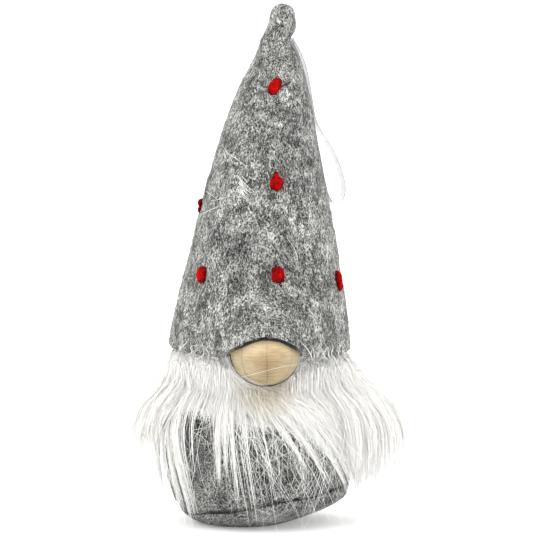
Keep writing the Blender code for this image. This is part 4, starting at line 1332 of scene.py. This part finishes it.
def fur_pieces(groups, rng):
    """The hair as pieces small enough to export, by side. Each stands for its CAD solid."""
    sides = {
        "beard_left": lambda turn: turn < -FRONT_TURN,
        "beard_front": lambda turn: abs(turn) <= FRONT_TURN,
        "beard_right": lambda turn: turn > FRONT_TURN,
    }
    made = []
    merged = {}
    for name, paths, radii in groups:
        merged.setdefault(name, []).append((paths, radii))
    for name, parts in merged.items():
        paths = np.concatenate([part[0] for part in parts])
        radii = np.concatenate([part[1] for part in parts])
        turn = turn_of(paths[:, 0])
        for side, chosen in sides.items():
            rows = np.nonzero(chosen(turn))[0]
            pieces = math.ceil(len(rows) * 2 * STRAND_SIDES * paths.shape[1] / MOST_TRIANGLES)
            for i in range(pieces):
                part = rows[i::pieces]
                piece = strands(f"{side}_{name}_{i + 1}", paths[part], radii[part], FUR, rng)
                made.append(assign(piece, f"{side}_pile"))
    return made


def make_backing():
    """The knitted strip that carries the fur, glued round the shoulder."""
    turns = np.linspace(-BACKING_TURN, BACKING_TURN, 120)
    low = backing_low(turns)
    shares = np.linspace(0, 1, 14)
    rows = []
    for out, climb in ((BACKING_OFF + BACKING_CLOTH, shares), (BACKING_OFF, shares[::-1])):
        for share in climb:
            height = low + (BACKING_TOP - low) * share
            rows.append(body_point(turns, height, out))
    rows = np.moveaxis(np.array(rows), 0, 1)
    backing = shell("fur_backing", rows, KNIT, (rows[0].mean(0), rows[-1].mean(0)))
    return assign(backing, "beard_backing")


# ---------------- filling


FILLING_VOXEL = 0.9 * MM


def lumpy(name, node_name, look, lump=0.35 * MM):
    """A soft stuffed solid inside a CAD node's own outline, with small lumps."""
    solid = frame["nodes"][node_name]
    copy = solid.copy()
    copy.data = solid.data.copy()
    copy.name = name
    copy.parent = None
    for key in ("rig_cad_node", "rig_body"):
        if key in copy:
            del copy[key]
    bpy.context.scene.collection.objects.link(copy)
    remesh = copy.modifiers.new("even", "REMESH")
    remesh.mode = "VOXEL"
    remesh.voxel_size = FILLING_VOXEL
    graph = bpy.context.evaluated_depsgraph_get()
    mesh = bpy.data.meshes.new_from_object(copy.evaluated_get(graph))
    copy.modifiers.clear()
    copy.data = mesh
    places = np.empty(len(mesh.vertices) * 3, np.float32)
    mesh.vertices.foreach_get("co", places)
    places = places.reshape(-1, 3).astype(float)
    normals = np.array([v.normal for v in mesh.vertices])
    places -= normals * (lump * (1.2 + noise(places, 3.5 * MM)))[:, None]
    mesh.vertices.foreach_set("co", places.astype(np.float32).ravel())
    mesh.materials.clear()
    mesh.materials.append(look)
    mesh.shade_smooth()
    mesh.update()
    assign(copy, node_name)


def dress_cad_nodes():
    """Materials for the CAD nodes that show as they are."""
    threads = ("pouch_tie", "base_seam_thread", "side_seam_thread", "hat_seam_thread", "gather_thread")
    glued = ("hat_glue_ring", "nose_glue_pad")
    for look, names in ((CARD, ("base_board",)), (SAND, ("ballast_fill",)), (COTTON, threads), (GLUE, glued)):
        for name in names:
            mesh = frame["nodes"][name].data
            mesh.materials.clear()
            mesh.materials.append(look)


# ---------------- loose hairs

TUFT_HAIRS = 34
BRIM_HAIRS = 26
NOSE_EDGE_HAIRS = 16
LOOSE_HAIR_RADIUS = 0.1 * MM


def on_hat(points):
    """Points on the hat, given by how they look from the front, as (x, height) in millimetres."""
    made = []
    for x, height in points:
        z = height * MM
        aside = (x * MM - float(through(HAT_LEAN, z))) / float(hat_radius(0.0, z))
        turn = math.degrees(math.asin(np.clip(aside, -1, 1)))
        made.append(hat_point(np.array(turn), np.array(z), 0.12 * MM))
    return np.array(made)


def loose_hairs(nose):
    """Single pale hairs: on the hat, in a tuft on its left, over its brim, over the lower left edge of the
    nose, and one that lies across the nose. Those at the nose are half as thick."""
    rng = np.random.default_rng(8)
    hairs = [
        on_hat([(-10.4, 109.0), (-8.5, 107.0), (-6.0, 105.7), (-3.5, 103.9), (-2.4, 102.3)]),
        on_hat([(-5.7, 101.2), (-4.8, 99.8), (-3.9, 98.4)]),
        on_hat([(-15.2, 95.6), (-13.4, 95.0), (-11.7, 94.2)]),
        on_hat([(-15.9, 92.6), (-12.5, 93.7), (-9.0, 94.9), (-6.3, 95.6)]),
        on_hat([(-16.1, 89.4), (-13.5, 91.0), (-10.5, 92.5), (-7.5, 93.5)]),
        on_hat([(-23.0, 61.9), (-21.0, 64.4), (-18.2, 68.6)]),
        on_hat([(14.0, 93.0), (15.0, 88.0), (15.2, 83.0)]),
        on_hat([(8.0, 84.0), (10.5, 80.0), (11.5, 75.0)]),
    ]
    for _ in range(TUFT_HAIRS):
        start = np.array([-4.9, 98.0]) + rng.normal(0, (0.7, 1.2))
        heading = rng.normal(-0.1, 0.7)
        length = rng.uniform(1.2, 3.4)
        steps = []
        for share in (0, 0.5, 1):
            way = np.array([math.sin(heading + share), -math.cos(heading)])
            steps.append(start + length * share * way)
        hairs.append(on_hat(steps))
    for _ in range(BRIM_HAIRS):
        turn = rng.choice((-1, 1)) * rng.uniform(24, 74)
        drift = rng.normal(0, 3, 4).cumsum()
        rise = rng.uniform(1.2, 3.4) * MM * np.array([-0.5, 0.0, 0.6, 1.0])
        off = np.array([0.9, 0.45, 0.2, 0.15]) * MM
        hairs.append(hat_point(turn + drift, HAT_BRIM + rise, off))
    for _ in range(NOSE_EDGE_HAIRS):
        sideways = np.array([-10.2, -6.4, -2.0, 3.5]) + rng.normal(0, 0.9)
        down = np.array([-4.2, -7.4, -9.4, -11.4]) + rng.normal(0, 0.8)
        reach = np.sqrt(np.maximum(10.5**2 - sideways**2 - down**2, 6.0))
        hairs.append(nose + stack(sideways, -reach - 0.3, down) * MM)
    across = np.array([
        (-7.0, -6.3, -6.8), (-3.6, -7.9, -5.6), (2.0, -9.6, -3.9), (6.8, -7.9, -3.1), (12.5, -6.0, -2.7),
    ])
    hairs.append((nose / MM + across - (0, 0.5, 0)) * MM)
    fine = []
    for points in hairs:
        steps = np.linspace(0, 1, len(points))
        at = np.linspace(0, 1, HAIR_POINTS)
        table = [through(np.stack([steps, points[:, k]], axis=-1), at) for k in range(3)]
        fine.append(np.stack(table, axis=-1))
    radii = hair_radii(len(fine), LOOSE_HAIR_RADIUS, rng)
    radii[-NOSE_EDGE_HAIRS - 1:] *= 0.5
    assign(strands("loose_hairs", np.array(fine), radii, PALE_FIBRES, rng))


# ---------------- everything


def main():
    studio()
    make_ribbon()
    hat = make_hat()
    sack, base = make_body()
    nose = make_nose()
    make_stitches()
    backing = make_backing()
    fur = fur_pieces(*make_beard(nose))
    loose_hairs(nose)
    lumpy("hat_filling", "hat_wadding", WADDING)
    lumpy("body_filling", "body_wadding", WADDING)
    lumpy("sand_pouch", "ballast_pouch", POUCH, lump=0.1 * MM)
    dress_cad_nodes()


main()
